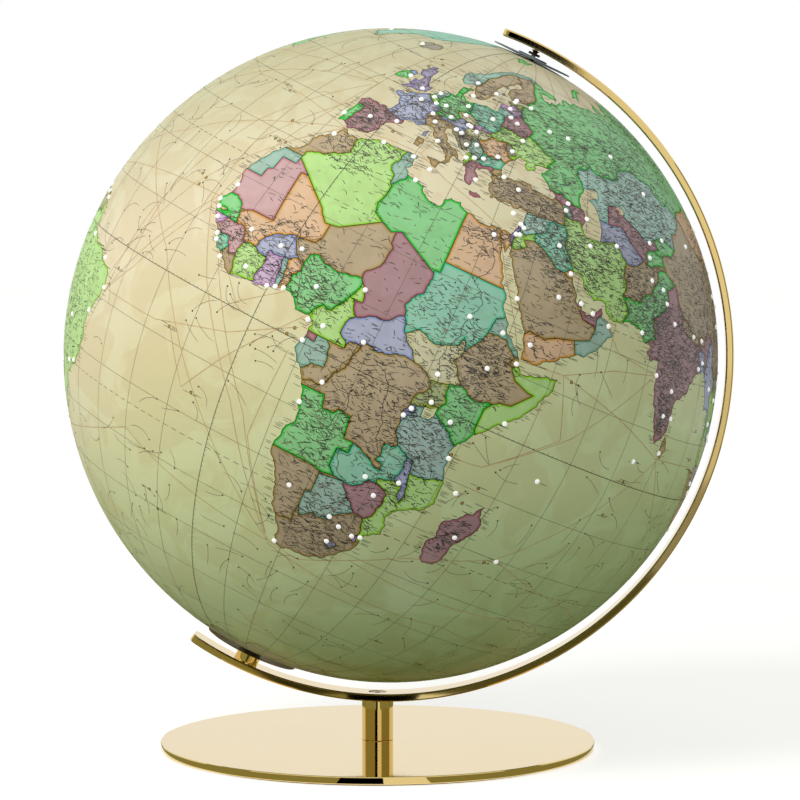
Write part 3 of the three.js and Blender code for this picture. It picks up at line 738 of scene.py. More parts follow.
    " -71.6,-33 -71.3,-29 -70.4,-24 -70.2,-19 -72,-17.2 -76.2,-14 -77.5,-11.5 -79.7,-7.2 -81.2,-5.5"
    " -80,-3.3 -80.9,-2 -80,0.5 -78.5,2 -77.3,4 -77.5,6.8 -78,7.5",
    "fuegia": "-70.5,-52.9 -68.3,-53 -65.2,-54.7 -68.5,-55.4 -72,-54.3",
    "greenland": "-73,78.2 -60,81.8 -45,82.4 -30,83.3 -18,80.5 -20,75 -24,70.5 -32,68 -40,65 -43,60 -48,61"
    " -52,64.5 -54,69 -58,75 -67,76",
    "baffin": "-80,73.5 -77,72.5 -68,70 -62,67 -65,63 -72,64 -73,68 -81,70 -89,72.5",
    "victoria_land": "-116,73 -105,72.5 -101.5,69.5 -110,68.8 -117,70",
    "ellesmere": "-90,76.5 -78,76.5 -62,82.2 -75,83 -90,81",
    "banks": "-125,72 -120,74.3 -117,73.3 -121,71.4",
    "southampton": "-87,65.5 -80.5,64 -86,63.6",
    "newfoundland": "-59.2,47.8 -55.8,51.5 -53,48.5 -53.6,46.8",
    "cuba": "-84.8,21.9 -82,23.1 -77,21.8 -74.3,20.2 -77.5,19.9 -78.5,21.2",
    "hispaniola": "-74.4,18.5 -72.7,19.9 -69.8,19.7 -68.5,18.4 -71.3,17.8",
    "antarctica": "-180,-78 -160,-77.5 -150,-76.5 -130,-74.5 -110,-75 -100,-72.5 -80,-73 -67,-68 -60,-63.5"
    " -57,-63.5 -62,-68 -62,-75 -78,-79 -40,-78 -27,-76 -15,-72 0,-69.5 20,-70 40,-69 55,-66 70,-68"
    " 75,-69.5 90,-66.5 110,-66.2 130,-66 145,-67 165,-71 170,-72.5 163,-77.5 180,-78 180,-84 -180,-84",
}
# Small islands, each drawn as a dot of land 0.28 degrees in radius.
ISLET_R = 0.28
ISLETS = (
    "-25.6,37.8 -28,38.6 -17,32.7 -15.5,28.2 -16.6,28.3 -14,28.5 -24,15.1 -23.5,16.6 -25,17 6.6,0.2"
    " 7.4,1.6 -5.7,-16 -14.4,-7.9 43.4,-11.7 45.2,-12.8 55.5,-21.1 57.6,-20.3 55.5,-4.7 53.9,12.5"
    " 39.4,-6.1 73.5,4.2 73.2,0.5 72.5,-6 46.4,-9.4 51,-46.5 69.5,-49.2 77.5,-37.8 -12.3,-37.1 -10,-40.3"
    " -36.8,-54.3 -59,-51.7 -32.4,-3.9 14.4,35.9 3,39.6 28,36.3 -7,62 -2.5,49.4 -66.3,18.3 -77.3,18.2"
    " -61,14.7 -61.5,16.2 -59.6,13.1 -61.3,10.5 -78,26.6 -77.4,24 -155.5,19.6 -158,21.5 -91,-0.5 178,-17.8"
    " 165.5,-21.3 167,-15.5 160,-9.5 -172,-13.8 -149.5,-17.6 144.8,13.5 134.5,7.5 158.2,6.9 92.8,12.3"
    " 93.7,7.2 105.7,-10.5 96.8,-12.2 -64.8,32.3 -109.4,-27.1 -175,-21.2 172,1.5 -154,57.5 -132.5,53.3"
    " -126,49.7 -63.5,46.4 154.5,49 150.5,46 128,26.5 10.9,57.2 18.3,57.4 23,58.7 20,60.2 11.8,55.4"
    " -4,60.4 -6.5,58.2 -5.9,56.4"
)
# Borders. Each runs on past the shore where it meets the sea. Those after an equals sign are ruled straight.
BORDERS = """
-2.2,35.6 -1.7,34 -1.2,32.2 -3.6,30.9 -5.3,29.7 -8.7,28.7 -8.7,27.7
=-14.5,27.7 -8.7,27.7 -8.7,26 -12,26 -12,23.4 -13,23 -13,21.3 -17.8,21.3
=-8.7,27.3 -4.8,25 -6.5,25 -5.5,16.4 -5.3,15.5 -9.3,15.5
-9.3,15.5 -10.7,15.2 -12.2,14.8 -13.4,16.1 -14.5,16.6 -16,16.5 -17.4,16.1
-12.2,14.8 -11.4,12.4 -9.3,12.3 -8,10.2 -6.2,10.5 -5.5,10.4 -4.5,9.7 -2.8,9.7
-17.7,13.6 -15,13.8 -13.8,13.5 -15,13.3 -17.7,13.1
-17.7,12.3 -15.3,12.6 -13.7,12.6 -11.4,12.4
-13.7,12.6 -13.8,11.7 -15.9,10.5
-14.3,8.8 -12.5,9.9 -11.2,10 -10.3,8.5 -11.9,6.3
-10.3,8.5 -9.4,7.4 -8.3,7.6 -8,10.2
-8.3,7.6 -7.5,5.8 -7.5,3.8
-2.8,9.7 -2.7,8 -3.2,6.5 -2.9,4.3
-2.8,9.7 -2.9,11 0,11.1 0.4,9.5 0.6,7.5 1.2,6 1.3,5.2
0,11.1 0.9,11 2.4,11.9 3.6,11.7 3.8,10.5 2.8,9 2.7,5.6
0.9,11 1.4,9.5 1.6,7 1.7,5.4
-5.5,10.4 -5.3,11.8 -4,13.3 -2,14.2 -0.7,15 0.2,15
0.2,15 0.3,14.3 1,13.4 2.4,11.9
=0.2,15 3.5,15.4 4.2,16.5 4.2,19.2
=-4.8,25 1.2,21.1 1.8,20.3 3.2,19.1 4.2,19.2 5.8,19.5 12,23.5
=12,23.5 10,24.5 9.4,26.2 9.9,28 9.9,30 9.5,30.2
9.5,30.2 9,32.1 7.6,33.3 7.6,34.2 8.3,35 8.3,36.5 8.6,37.5
9.5,30.2 10.3,31 10.6,31.8 11.5,32.5 11.4,33.7
=12,23.5 14.2,22.6 15,23 16,23.4 24,19.5
=25,32.4 24.9,30 25,22 25,20 24,20 24,19.5
=25,22 31,22 37.7,22
15,23 15.2,21 15.9,20.3 15.5,17 13.5,14.5 13.6,13.7
3.6,11.7 4.1,13.4 5.5,13.9 7,13 9,12.8 12,13.2 13.6,13.7 14.1,13
14.1,13 14.2,12.4 13.5,10.5 12.5,8.5 11.5,6.7 10,7 9,5.8 8.4,4.2
14.1,13 15.1,12 15.5,10 14,9.9 15.5,7.5
15.5,7.5 16.5,7.8 18.8,9 20.5,9.2 22.8,11
24,19.5 24,15.7 22.5,14.2 22,12.8 22.8,11 23.5,9.5 24,8.6
15.5,7.5 14.5,6 14.7,4 16.1,3 16.2,2.2 16.5,3.5 18.6,3.5 18.6,4.4
18.6,4.4 20.5,4.2 22.5,4.2 24.5,5 27.4,5 26.4,6.5 24,8.6
24,8.6 26,10.2 28,9.3 31,9.8 33,10.5 33.2,12.1 34,10 34,9.5
34,9.5 34.5,10.8 36,12.6 36.5,14.3 37,17 39.1,18.5
36.5,14.3 38,14.6 40,14.5 42.4,12.5 43.7,13
42.4,12.5 41.8,11 43,11 43.8,11.7
=43,11 42.7,10.5 44,9 47,8 48,8 45,5 43,4.7 41.9,4
41.9,4 41,4.1 39.5,3.5 38,3.6 35.9,4.8 34,4.2 32.5,3.7 30.9,3.5 29.5,4.5 27.4,5
34,9.5 33,7.8 35,5.5 35.9,4.8
=41.9,4 41,2.8 41,-0.8 41.6,-1.7 42.2,-2.2
34,4.2 34.8,1.2 34,0 33.9,-1
=33.9,-1 37.7,-3.2 37.7,-3.6 39.2,-4.7 39.9,-5.2
33.9,-1 30.5,-1.1 30.8,-2.4 30.5,-2.9 29.4,-4.5
30.5,-1.1 29.6,-1.4 29,-2.8 30.8,-2.4
30.9,3.5 31.3,2.2 29.9,0.6 29.6,-1.4
29,-2.8 29.2,-3.5 29.4,-4.5 29.5,-6.5 30.8,-8.3 33,-9.4 34.3,-9.7 34.6,-11.6
34.6,-11.6 37.5,-11.7 40.4,-10.5 41.1,-10.3
33,-9.4 33.3,-11.5 32.7,-13.7 33.2,-14 34.5,-14.5 34.4,-16.2 35.3,-17.1 35.8,-15.9 35,-13.5 34.6,-11.6
33.2,-14 30.2,-14.9 30.4,-15.6 28.9,-15.9 27,-17.8 25.3,-17.8
30.4,-15.6 32.9,-16.7 33,-18.5 32.5,-21.3 31.3,-22.4
31.3,-22.4 32,-24.5 32,-25.8 32.1,-26.8 33.4,-26.8
32,-25.8 31,-26.3 31,-27.2 32.1,-27.3 32.1,-26.8
31.3,-22.4 29.4,-22.2 27.7,-20.5 26.2,-19 25.3,-17.8
29.4,-22.2 27,-23.7 25.6,-25.6 23,-25.3 20.7,-26.8 20,-24.8
=20,-24.8 20,-22 21,-22 21,-18.3 23.3,-18 25.3,-17.8
20,-24.8 20,-28.4 17.5,-28.9 16.4,-28.6 15.6,-28.6
=11,-17.3 13.9,-17.4 18.4,-17.4 21.4,-17.9 23.4,-17.6 25.3,-17.8
=23.4,-17.6 22,-16.2 22,-13 24,-13 24,-11
24,-11 25.3,-11.3 26.8,-12 29,-13.4 29.8,-13.3 29.8,-12.2 28.5,-12 28.6,-9 30.8,-8.3
=24,-11 22.3,-11 21.8,-7.3 19.5,-7 19,-8 17,-8 16.5,-5.9 11.6,-6
18.6,3.5 18,2 17.7,-0.5 16.2,-2.2 16,-3.7 15,-4.9 13.2,-4.7 12.5,-5.2 11.3,-5.4
10.8,-4.3 11.2,-3.5 12.5,-2.2 14.5,-2 14.4,-0.5 14,1.3 13.2,2.2
=16.2,2.2 13.2,2.2 11.3,2.2 9.2,2.3
11.3,2.2 11.3,1 9,1
27,-29.6 28.2,-28.7 29.4,-29.3 29.2,-30 28.2,-30.6 27,-29.6
-9.4,41.9 -8.2,42 -6.5,41.8 -6.9,40.3 -7.3,39.5 -7,38.2 -7.4,36.8
-2.2,43.7 -1.5,43.2 0.7,42.8 3.7,42.4
7.5,43.2 7.6,44.2 6.8,45.2 7,46 6.1,46.2 7,47.4 7.6,47.6 8.2,49 6.4,49.4 5.8,49.5 4.2,50 2.3,51.4
7,46 8.4,46.3 9,45.9 10.4,46.8 9.6,46.9 9.6,47.4 7.6,47.6
3.2,51.7 4.5,51.4 6,50.8 6.1,50.1 6.4,49.4
6,50.8 6.1,51.8 7,52.3 7.1,53.9
7.8,54.9 9.9,54.8 10.6,54.8
14.2,54.4 14.3,53 15,51 12.2,50.3 13.8,48.8 12.8,47.7 10.4,47.5 9.6,47.4
13.8,48.8 15,49 16.9,48.6 17.1,48 16.2,46.9 14.5,46.4 13.7,46.5 12.2,47 10.4,46.8
13.7,46.5 13.6,45.3
15,51 16.5,50.4 18.8,49.5 16.9,48.6
18.8,49.5 20,49.3 22.5,49.1 22.2,48.4 20.5,48.4 18.8,47.8 17.1,48
22.2,48.4 22.9,48 21.2,46.2 20.3,46.1 18.9,45.9 18,45.8 16.6,46.3 16.2,46.9
16.6,46.3 15.4,45.6 13.2,45.4
18.9,45.9 18.9,45 17,45.2 15.8,45.1 16.5,44 17.6,43 18.2,42.3
18.9,45 19.4,44 18.7,43.2 18.1,42.4
18.9,43.5 20.2,42.8 19.6,42.4 19.2,41.7
20.2,42.8 20.5,42 20.6,41 20.3,40 19.8,39.5
20.6,41 22.9,41.3 24.5,41.5 26.3,41.7 26,40.5
20.5,42 22.4,42.3 22.9,41.3
22.4,42.3 22.7,43.3 22.6,44.2 21.4,44.9 20.3,46.1
26.3,41.7 28.4,42
22.6,44.2 23,43.8 25.5,43.7 27.2,44.1 29,43.8
22.9,48 24.9,47.8 26.6,48.3 28.2,45.5 30,45.2
26.6,48.3 28.2,48.1 30,46.4 28.2,45.5
19.3,54.3 22.8,54.4 23.5,54 23.6,51.6 24,50.6 22.5,49.1
20.7,55.3 22.8,54.4
23.5,54 25.7,54.3 26.6,55.7 28.2,56.1
20.7,56.1 24,56.3 26.6,55.7
23.4,57.9 27.4,57.5 28.2,56.1 31,54.7 32.7,53.4 31.8,52.1
27.4,57.5 28,59.8
31.8,52.1 30.6,51.3 27,51.6 23.6,51.6
31.8,52.1 34.2,51.3 38,49.9 40,49.5 38.3,47.5 38.2,46.6
27.8,60.2 31.5,62.8 30,65.7 30,67.7 28.9,69.1 31,70.2
28.9,69.1 27.8,70 25.8,69.4 21,69.1 23.7,67.4 24.1,65.5
21,69.1 18,68.5 15,66 12.2,63 12.2,61 11.8,59.5 11,58.6
-7.3,55.6 -8.1,54.4 -7,54.1 -5.8,54
35.5,35.9 36.6,36.8 38.8,36.7 42.3,37.2 44.8,37.2 44.4,39.5 43.7,40.5 43.5,41.1 41,41.5
44.8,37.2 45.8,35.8 45.6,34 46.1,33 47.7,31.3 48.8,29.8
35.5,34.7 36.5,34.2 35.8,33.2 35.7,32.7 35.5,31.5 34.95,29.2
34.7,33.1 35.8,33.2
=34,31.5 34.95,29.5
=35.7,32.7 36.8,32.3 38.8,33.4 41,34.4 41.3,36.5 42.3,37.2
=38.8,33.4 39.2,32.1 37,31.5 38,30.5 36,29.2 34.6,29.3
=39.2,32.1 41.9,31.2 44.7,29.2 46.5,29.1 47.7,30.1 48.4,30.1
46.5,29.1 47.7,28.6 48.9,28.6
=42.3,16.4 43.3,17.4 46.3,17.2 48.5,18.2 52,19 55,20 55.7,22 55.5,24 56.7,24.9
=52,19 53.2,16.2
=55.7,22 55,22.6 52.5,22.9 51.5,24.1 52.1,24.6
50.8,24.7 52,24.6
38.8,43.1 43,43.2 46.5,41.8 49.4,41.7
43.5,41.1 45,41.3 46.5,41.8
45,41.3 46.5,38.9 48,39.4 49.1,38.3
44.4,39.5 46.5,38.9
53.6,37.3 55.5,38 57.3,38.2 59.5,37.2 61.2,35.6 60.8,33 61.7,31.3 60.9,29.8 63,27.2 61.7,24.9
60.9,29.8 66,29.8 66.4,31 69.3,32 71,34.5 71.5,36.5 74.6,37.1
61.2,35.6 63,35.5 66.5,37.4 68,37 71.5,37.6 74.6,37.4
=66.5,37.4 63,39.5 60,42 56,41.3 56,45 58.5,45.6 61,44.2 66,42.5 68,41 71,42.2
52.4,41.8 56,41.3
71,42.2 73,40.8 70.5,40.2 68,39.5 68,37
70.5,40.2 73.7,39.5 74.6,37.4 74.6,37.1
73.7,39.5 76,40.4 80.2,42 80.5,45 82.5,45.3 85.5,47.2 87.5,49.1
71,42.2 74,43.2 80.2,42
48.9,46.1 47,48.3 47,50 51,51.7 55,50.6 58.5,51 61,51.5 61.5,53.5
61.5,53.5 65,54.5 70,55.3 75,54 77,54 80,51 83.5,51 87.5,49.1
87.5,49.1 92,50.8 98.5,52 103,50.2 108,49.5 113,49.6 116.7,49.8
116.7,49.8 120,53 126,52.8 131,48 135,48.4 131,44.9 130.9,42.2
87.5,49.1 91,46.5 96,43 105,41.7 111,43.8 116,46.5 119.8,46.7 116.7,49.8
131.7,42.1 130.6,42.6 128,42 126,41 123.8,39
126,37.8 128.9,38.6
108.3,21.2 105.5,23.2 102.2,22.4 101.2,21.3 99,22 97.7,24.2 98.7,27.5
98.7,27.5 97.3,28.2 94,29.2 91.7,27.8 88.9,27.8 88.1,27.9
88.1,27.9 86,28 81,30.3 79,32.5 78.5,34.5 77.8,35.5 74.6,37.1
88.1,27.9 88.1,26.5 84,27.4 80.1,28.8 81,30.3
88.9,27.8 89,26.8 92,26.8 91.7,27.8
77.8,35.5 74.5,34 75.2,32.3 73.5,30 70,27.8 71,24.5 68,23.4
89,21.4 89,24 88.2,25.5 89.8,26 92.3,25 91.3,24 91.7,23 92.6,22 92.1,20.6
92.6,22 93.3,24 95,26.5 97.3,28.2
101.2,21.3 100.1,20.4 97.8,18.5 98.8,16 99.3,12.5 97.8,9.7
100.1,20.4 101,17.6 104.3,18 105.6,14.4 102.7,13.8 102.1,10.7
102.2,22.4 104.5,20 107.5,14.7 105.6,14.4
107.5,14.7 107.4,12 105.8,11.2 104.5,10.4 104,10
99.7,6.5 102.3,6.2
108.6,2.2 111,1 114.5,1.8 119,4.3
=141,-2.2 141,-9.5
=-123.2,49 -95.2,49 -92,48.2 -89.5,48.2 -88.4,47.5
-85.6,46.9 -84.5,46.6 -83.9,46 -83.4,45.6
-82.3,43.7 -82.9,42.4 -82.6,41.85
-78.9,43.65 -79,43.2 -79,42.95 -79.6,42.6
-76.7,43.9 -74.8,45 -71.5,45 -70,46.8 -67.8,47 -67,44.5
=-141,69.9 -141,60.3
-141,60.3 -137,59 -133,56.5 -130.2,54.4
-117.6,32.5 -114.8,32.6 -111,31.3 -108.2,31.6 -106.5,31.8 -104.5,29.6
-104.5,29.6 -103,29 -101.4,29.8 -99.3,26.5 -96.9,25.9
-92.6,14 -91.5,16 -91,17.8 -89.2,17.8 -87.4,18.6
-89.2,17.8 -89.1,16.1 -88,16.4
-88.3,16.2 -89.4,14.4 -90.2,13.4
-89.4,14.4 -87.6,12.7
-87.8,12.7 -85,14.5 -82.9,15
-86.3,11 -83.2,10.9
-83.1,7.9 -82.6,9.7
-71.1,12.3 -72.5,9.5 -72,7.3 -67.5,6.2 -67,1.2 -69.5,1 -69.5,-1 -70,-4.3
-79.4,1.5 -77.5,0.5 -75.3,-0.2 -73,-2.4 -70,-2.8 -70,-4.3
-75.3,-0.2 -75.5,-1.6 -78.5,-3.8 -79,-5 -80.7,-3.2
-67,1.2 -64,2 -64,4 -61,4.5 -60.6,5.2 -61,7 -59.6,8.9
-60.6,5.2 -59.8,3 -58,1.5 -56.5,1.9 -58,4 -57,6.5
-56.5,1.9 -54.5,2.3 -54,6.2
-54.5,2.3 -52.6,2.3 -51.2,4.7
-70,-4.3 -73,-5 -74,-7.5 -72.5,-9.5 -70.6,-9.7 -70.6,-11 -69.5,-11 -69,-15 -69.3,-17.5 -71,-18.5
-69.5,-11 -65.3,-10 -65,-12 -60,-13.8 -60,-16.2 -58,-17.3 -57.8,-19.5 -61.8,-19.7 -62.6,-22.2
-62.6,-22.2 -66,-22 -67.3,-22.8 -68.3,-20 -69.3,-17.5
-67.3,-22.8 -68.5,-25 -70,-30 -70,-33.5 -71.2,-37 -71.8,-42 -71.8,-46 -73,-49.5 -72,-52 -68,-52.4
=-68.6,-52.7 -68.6,-55.8
-62.6,-22.2 -58,-25.3 -58.5,-27.3 -55.8,-27.3 -54.6,-25.6 -54.3,-24 -57.8,-22.2 -57.8,-19.5
-54.6,-25.6 -53.7,-26.5 -57.6,-30.2 -55.5,-30.9 -53.1,-33.9
-57.6,-30.2 -58.2,-33 -58.5,-34.6
-71.8,20.1 -71.7,17.6
"""
# The inks, each with a seed in every country that is printed in it. A row may run on to a second line.
TINTS = """
rose 0.58,0.39,0.40: -10.5,19 -11,11 -64,-17
peach 0.70,0.49,0.31: 0,18.5 28,26 33.8,30.1 47.5,15.7 26,45.7 -102,23 106,47 2.3,9.5
lime 0.47,0.74,0.28: -87,14.9 4.7,50.5 20.1,41 2,28 -5.5,8 12.5,5 46,4.5 38.5,-14 56,32 31,49 -52,-10
  -57,-33 138,-24 147,-42 101,15.5 36.8,31.2
green 0.27,0.64,0.28: -66,47.7 9.2,56.2 -59,4.8 18,27 8,9.5 17.5,-12 38,0.5 69,28 45,58 -175,66.5 56.5,72.4
  143,50 10,51 -8.1,39.5 -8,53 -14.8,14.9 -70,65 -95,55 -110,71 -120,72.8 -84,64.5 -56,49 -80,80 20,79
  70,38.6 75,41.5
tan 0.48,0.39,0.25: 9,17 44,24.5 33,39 66,33.5 105,35 110,19.2 16,62.5 12,43 15,-1.5 14,37.5 9,40 -65,-35
  -67,-54.2 140,36 131,32.5 133.5,33.5 143.5,43.5 -7,30.9 80.9,7.3 40,8 26,63 23,-3
mauve 0.42,0.26,0.28: -3.7,40 19,15 30,-19 47,-19 78,22 28,53.5 64,41.5 22,39.5 24.6,35.2 -100,40 -150,65
  -78,21.5 10.5,1.6 54,23.6 44,42 47.5,40.5
aqua 0.30,0.62,0.46: 30,15 27,-14.8 43,33.5 19.5,52 25.3,42.7 -72,4 121,16 125,8 122.7,10.5 125,11.5
  118.5,10 -89.9,15.2 -12,8.3 -46,72
sand 0.56,0.45,0.27: 90.4,27.4 42.6,11.7 47.6,29.3 -56,5 112,0.8 101,-1 110,-7.5 138,-4 120.3,-2 121,-8.6
  117.5,-8.6 125.5,-9.2 128,0.5 129,-3.4
slate 0.36,0.53,0.45: -13.5,24.5 11.8,-0.5 23,-22 9,34.5 -75,-10 44.8,40.3 150.5,-5.2 145,-6.5 171,-44
  175,-38.5 21.5,44 38.5,15.7 57,21 9,61
cream 0.63,0.62,0.40: 30,7.5 -15.2,13.5 20.5,47 -58,-23 15.5,49.9 127.5,36.5
brown 0.45,0.37,0.24: 23,-30.5 17,-21.5 -9.5,6.5 84,28.2 105.5,19.8 -66,7 115,4.5 8,46.8
lavender 0.42,0.46,0.61: 20.5,6.5 -2,12.6 59,39.5 2.5,47 9,42.2 -6.8,54.6 108.2,13 -85,13 14.5,47.4 90,24
  97,19 28.3,-29.6 34.2,-12.5 30,-2 29.6,-3.2
lilac 0.60,0.45,0.64: 102,4.5 -70.3,18.8 19.6,48.9 -1,8.5 31.5,-26.7 51.3,25.3 128,40.5 24,56.8 -15,12
indigo 0.36,0.33,0.47: -1.5,52.5 35.9,33.9 35,31.5
stone 0.33,0.31,0.24: 18,44 28,47.3 -71,-30 -70,-54 16,44.6 -19,65
ice 0.44,0.66,0.58: 68,49 38.5,35
blue 0.38,0.54,0.50: 35,-6.5 104,13.2 23.8,55.3 -84.2,9.9 0.9,8.5 5.4,52.2
floe 0.40,0.44,0.26: 45,-77
olive 0.40,0.47,0.22: 102.5,20.3 32.5,1.5 26,59 -53,3.5 -89,13.7 -88.6,17.3
"""
ISLET_INK = (0.56, 0.45, 0.27)
MAP_END = 87.2  # the film stops at this latitude, under the dial and the dish
STEP = 0.45  # no drawn line is longer, in degrees
SHORE_WANDER, BORDER_WANDER = 0.17, 0.13  # how far a middle is pushed aside, against the run's length


def degrees(text):
    """The text's groups of numbers, most of them places in degrees east and north."""
    return [tuple(float(n) for n in pair.split(",")) for pair in text.split()]


def wandering(a, b, wander):
    """Points between a and b, each half of the run pushed aside a little, as a real shore or border goes."""
    if a > b:
        return wandering(b, a, wander)[::-1]
    east, up = b[0] - a[0], b[1] - a[1]
    run = math.hypot(east * math.cos(math.radians((a[1] + b[1]) / 2)), up)
    if run < STEP:
        return []
    side = wander * min(1, 5 / run) * random.Random(f"{a} {b}").uniform(-1, 1)
    middle = ((a[0] + b[0]) / 2 - side * up, (a[1] + b[1]) / 2 + side * east)
    return wandering(a, middle, wander) + [middle] + wandering(middle, b, wander)


def wandered(run, wander):
    path = run[:1]
    for a, b in zip(run, run[1:]):
        straight = abs(a[0]) == 180 and abs(b[0]) == 180
        path += wandering(a, b, 0 if straight else wander) + [b]
    return path


spots, spot_of, lines = [], {}, []


def spot_at(p):
    key = (round(p[0], 4), round(p[1], 4))
    if key not in spot_of:
        spot_of[key] = len(spots)
        spots.append(key)
    return spot_of[key]


def draw(path):
    ids = [spot_at(p) for p in path]
    lines.extend((i, j) for i, j in zip(ids, ids[1:]) if i != j)


for name, text in SHORES.items():
    run = degrees(text)
    if name == "antarctica":
        run = run[:-2]
    else:
        run = run + run[:1]
    draw(wandered(run, SHORE_WANDER))
for lon, lat in degrees(ISLETS):
    wide = ISLET_R / math.cos(math.radians(lat))
    ring = [(lon + wide * math.cos(i), lat + ISLET_R * math.sin(i)) for i in (0, 1.1, 2.0, 3.2, 4.1, 5.2)]
    draw(ring + ring[:1])
for text in BORDERS.strip().splitlines():
    draw(wandered(degrees(text.lstrip("=")), 0 if text.startswith("=") else BORDER_WANDER))


def outward(lon, lat):
    """The way out from the ball's middle to a place on the map."""
    lon, lat = math.radians(lon), math.radians(lat)
    return Vector((math.cos(lat) * math.cos(lon), math.cos(lat) * math.sin(lon), math.sin(lat)))


near_line = kdtree.KDTree(len(spots))
for i, p in enumerate(spots):
    near_line.insert(outward(*p), i)
near_line.balance()

# The sheet is cut along every line, into small triangles. Beside each line goes a row of points for the
# strong band of ink, and the rest is filled with a grid.
BAND = 0.5
GRID = 1.8
for i, j in list(lines):
    (ax, ay), (bx, by) = spots[i], spots[j]
    shrink = math.cos(math.radians(ay))
    east, up = (bx - ax) * shrink, by - ay
    run = math.hypot(east, up)
    for side in (BAND, -BAND):
        p = (ax - side * up / run / shrink, ay + side * east / run)
        if abs(p[0]) < 179.5 and abs(p[1]) < MAP_END - 0.5:
            if near_line.find(outward(*p))[2] > math.radians(0.8 * BAND):
                spot_at((round(p[0], 1), round(p[1], 1)))
rows = int(2 * MAP_END / GRID) + 1
for row in range(rows + 1):
    lat = -MAP_END + 2 * MAP_END * row / rows
    count = int(360 / GRID * max(0.5, math.cos(math.radians(lat))))
    for i in range(count + 1):
        p = (-180 + 360 * i / count, lat)
        edge = i in (0, count) or row in (0, rows)
        if edge or near_line.find(outward(*p))[2] > math.radians(1.3 * BAND):
            spot_at(p)
points, rims, faces, _, from_lines, _ = geometry.delaunay_2d_cdt(
    [Vector(p) for p in spots], lines, [], 0, 1e-5, True
)
walls = {tuple(sorted(rim)) for rim, source in zip(rims, from_lines) if source}
across = {}
for f, face in enumerate(faces):
    for i in range(3):
        across.setdefault(tuple(sorted((face[i], face[i - 1]))), []).append(f)

flat_map = bvhtree.BVHTree.FromPolygons([(*p, 0) for p in points], faces)


def face_at(lon, lat):
    return flat_map.ray_cast((lon, lat, 1), (0, 0, -1))[2]


SEA_SEEDS = degrees(
    "-30,0 18,35 38,20.5 51.5,26.4 19,57 3,56 -110,-20 60,-20 150,0 135,40 -85,60 -75,15 -90,25 16,43"
    " 21,63.5"
)
LAKE_SEEDS = degrees(
    "34,43.5 51,41 33,-1.2 60,44.8 -87.5,47.3 -86.8,44 -82,44.6 -81.3,42.1 -77.6,43.7 -97.6,52 -113,61.6"
    " 108.2,54"
)
# Each region is an ink and the seeds that it spreads from, up to the lines. Water has no ink.
regions = [(None, SEA_SEEDS)]
for text in TINTS.strip().splitlines():
    ink, colon, seeds = text.rpartition(": ")
    if colon:
        colour = degrees(ink.split()[1])[0]
    regions += [(colour, [seed]) for seed in degrees(seeds)]
regions += [(ISLET_INK, [seed]) for seed in degrees(ISLETS)]
regions += [(None, [seed]) for seed in LAKE_SEEDS]
region_of = [None] * len(faces)
for number, (colour, seeds) in enumerate(regions):
    for seed in seeds:
        start_face = face_at(*seed)
        todo = [start_face]
        while todo:
            f = todo.pop()
            if region_of[f] is None:
                region_of[f] = number
                for i in range(3):
                    rim = tuple(sorted((faces[f][i], faces[f][i - 1])))
                    if rim not in walls:
                        todo += across[rim]
# Slivers that no seed reached take the ink of a neighbour.
left = [f for f, number in enumerate(region_of) if number is None]
while left:
    later = []
    for f in left:
        rims_of = [tuple(sorted((faces[f][i], faces[f][i - 1]))) for i in range(3)]
        beside = [region_of[g] for rim in rims_of for g in across[rim] if region_of[g] is not None]
        if beside:
            region_of[f] = beside[0]
        else:
            later.append(f)
    if len(later) == len(left):
        break
    left = later

# ---- the map film ----------------------------------------------------------------------------------------
# A thin printed film, half gloss under a clear coat, drawn tight over both halves of the ball. Each country
# is one ink, stronger along its border; the sea is a cream that goes to a soft green, with painted shade that
# makes it darker at the ball's top and most at its bottom as it stands. The film clears the corners of the
# ball's facets, which reach 170.15 mm.

FILM_R = 170.22
UNDER_DIAL_R = 168.5  # the film's ends are turned in to here
MAP_TURN = math.radians(-112.53)
globe = north @ Matrix.Rotation(MAP_TURN, 4, "Z")

bm = bmesh.new()
tint = bm.loops.layers.float_color.new("tint")
inland = bm.verts.layers.float.new("inland")
near_line = kdtree.KDTree(len(walls))
for i, (a, b) in enumerate(walls):
    near_line.insert((outward(*points[a]) + outward(*points[b])) / 2, i)
near_line.balance()
for p in points:
    out = outward(*p)
    v = bm.verts.new(out * FILM_R)
    v[inland] = near_line.find(out)[2] * FILM_R
bm.verts.ensure_lookup_table()
for a, b in walls:
    bm.verts[a][inland] = 0
    bm.verts[b][inland] = 0
SEA, LAND = 0, 1
SEA_TINT = (0.6, 0.6, 0.4)
for face, number in zip(faces, region_of):
    made = bm.faces.new([bm.verts[i] for i in face])
    colour = regions[number or 0][0]
    made.material_index = SEA if colour is None else LAND
    for loop in made.loops:
        loop[tint] = (*(colour or SEA_TINT), 1)
bmesh.ops.remove_doubles(bm, verts=bm.verts, dist=0.001)
ends = [e for e in bm.edges if len(e.link_faces) == 1]
turned_in = bmesh.ops.extrude_edge_only(bm, edges=ends)
for v in turned_in["geom"]:
    if isinstance(v, bmesh.types.BMVert):
        v.co *= UNDER_DIAL_R / FILM_R


film_tooth, nodes, links, given, put = effect(
    "film_tooth", {"Vector": "Vector", "Strength": "Float"}, {"Normal": "Vector"}
)
tooth = noise(nodes, links, given["Vector"], 1400.0, 3.0)
links.new(bumped(nodes, links, tooth, given["Strength"], 0.0001), put["Normal"])

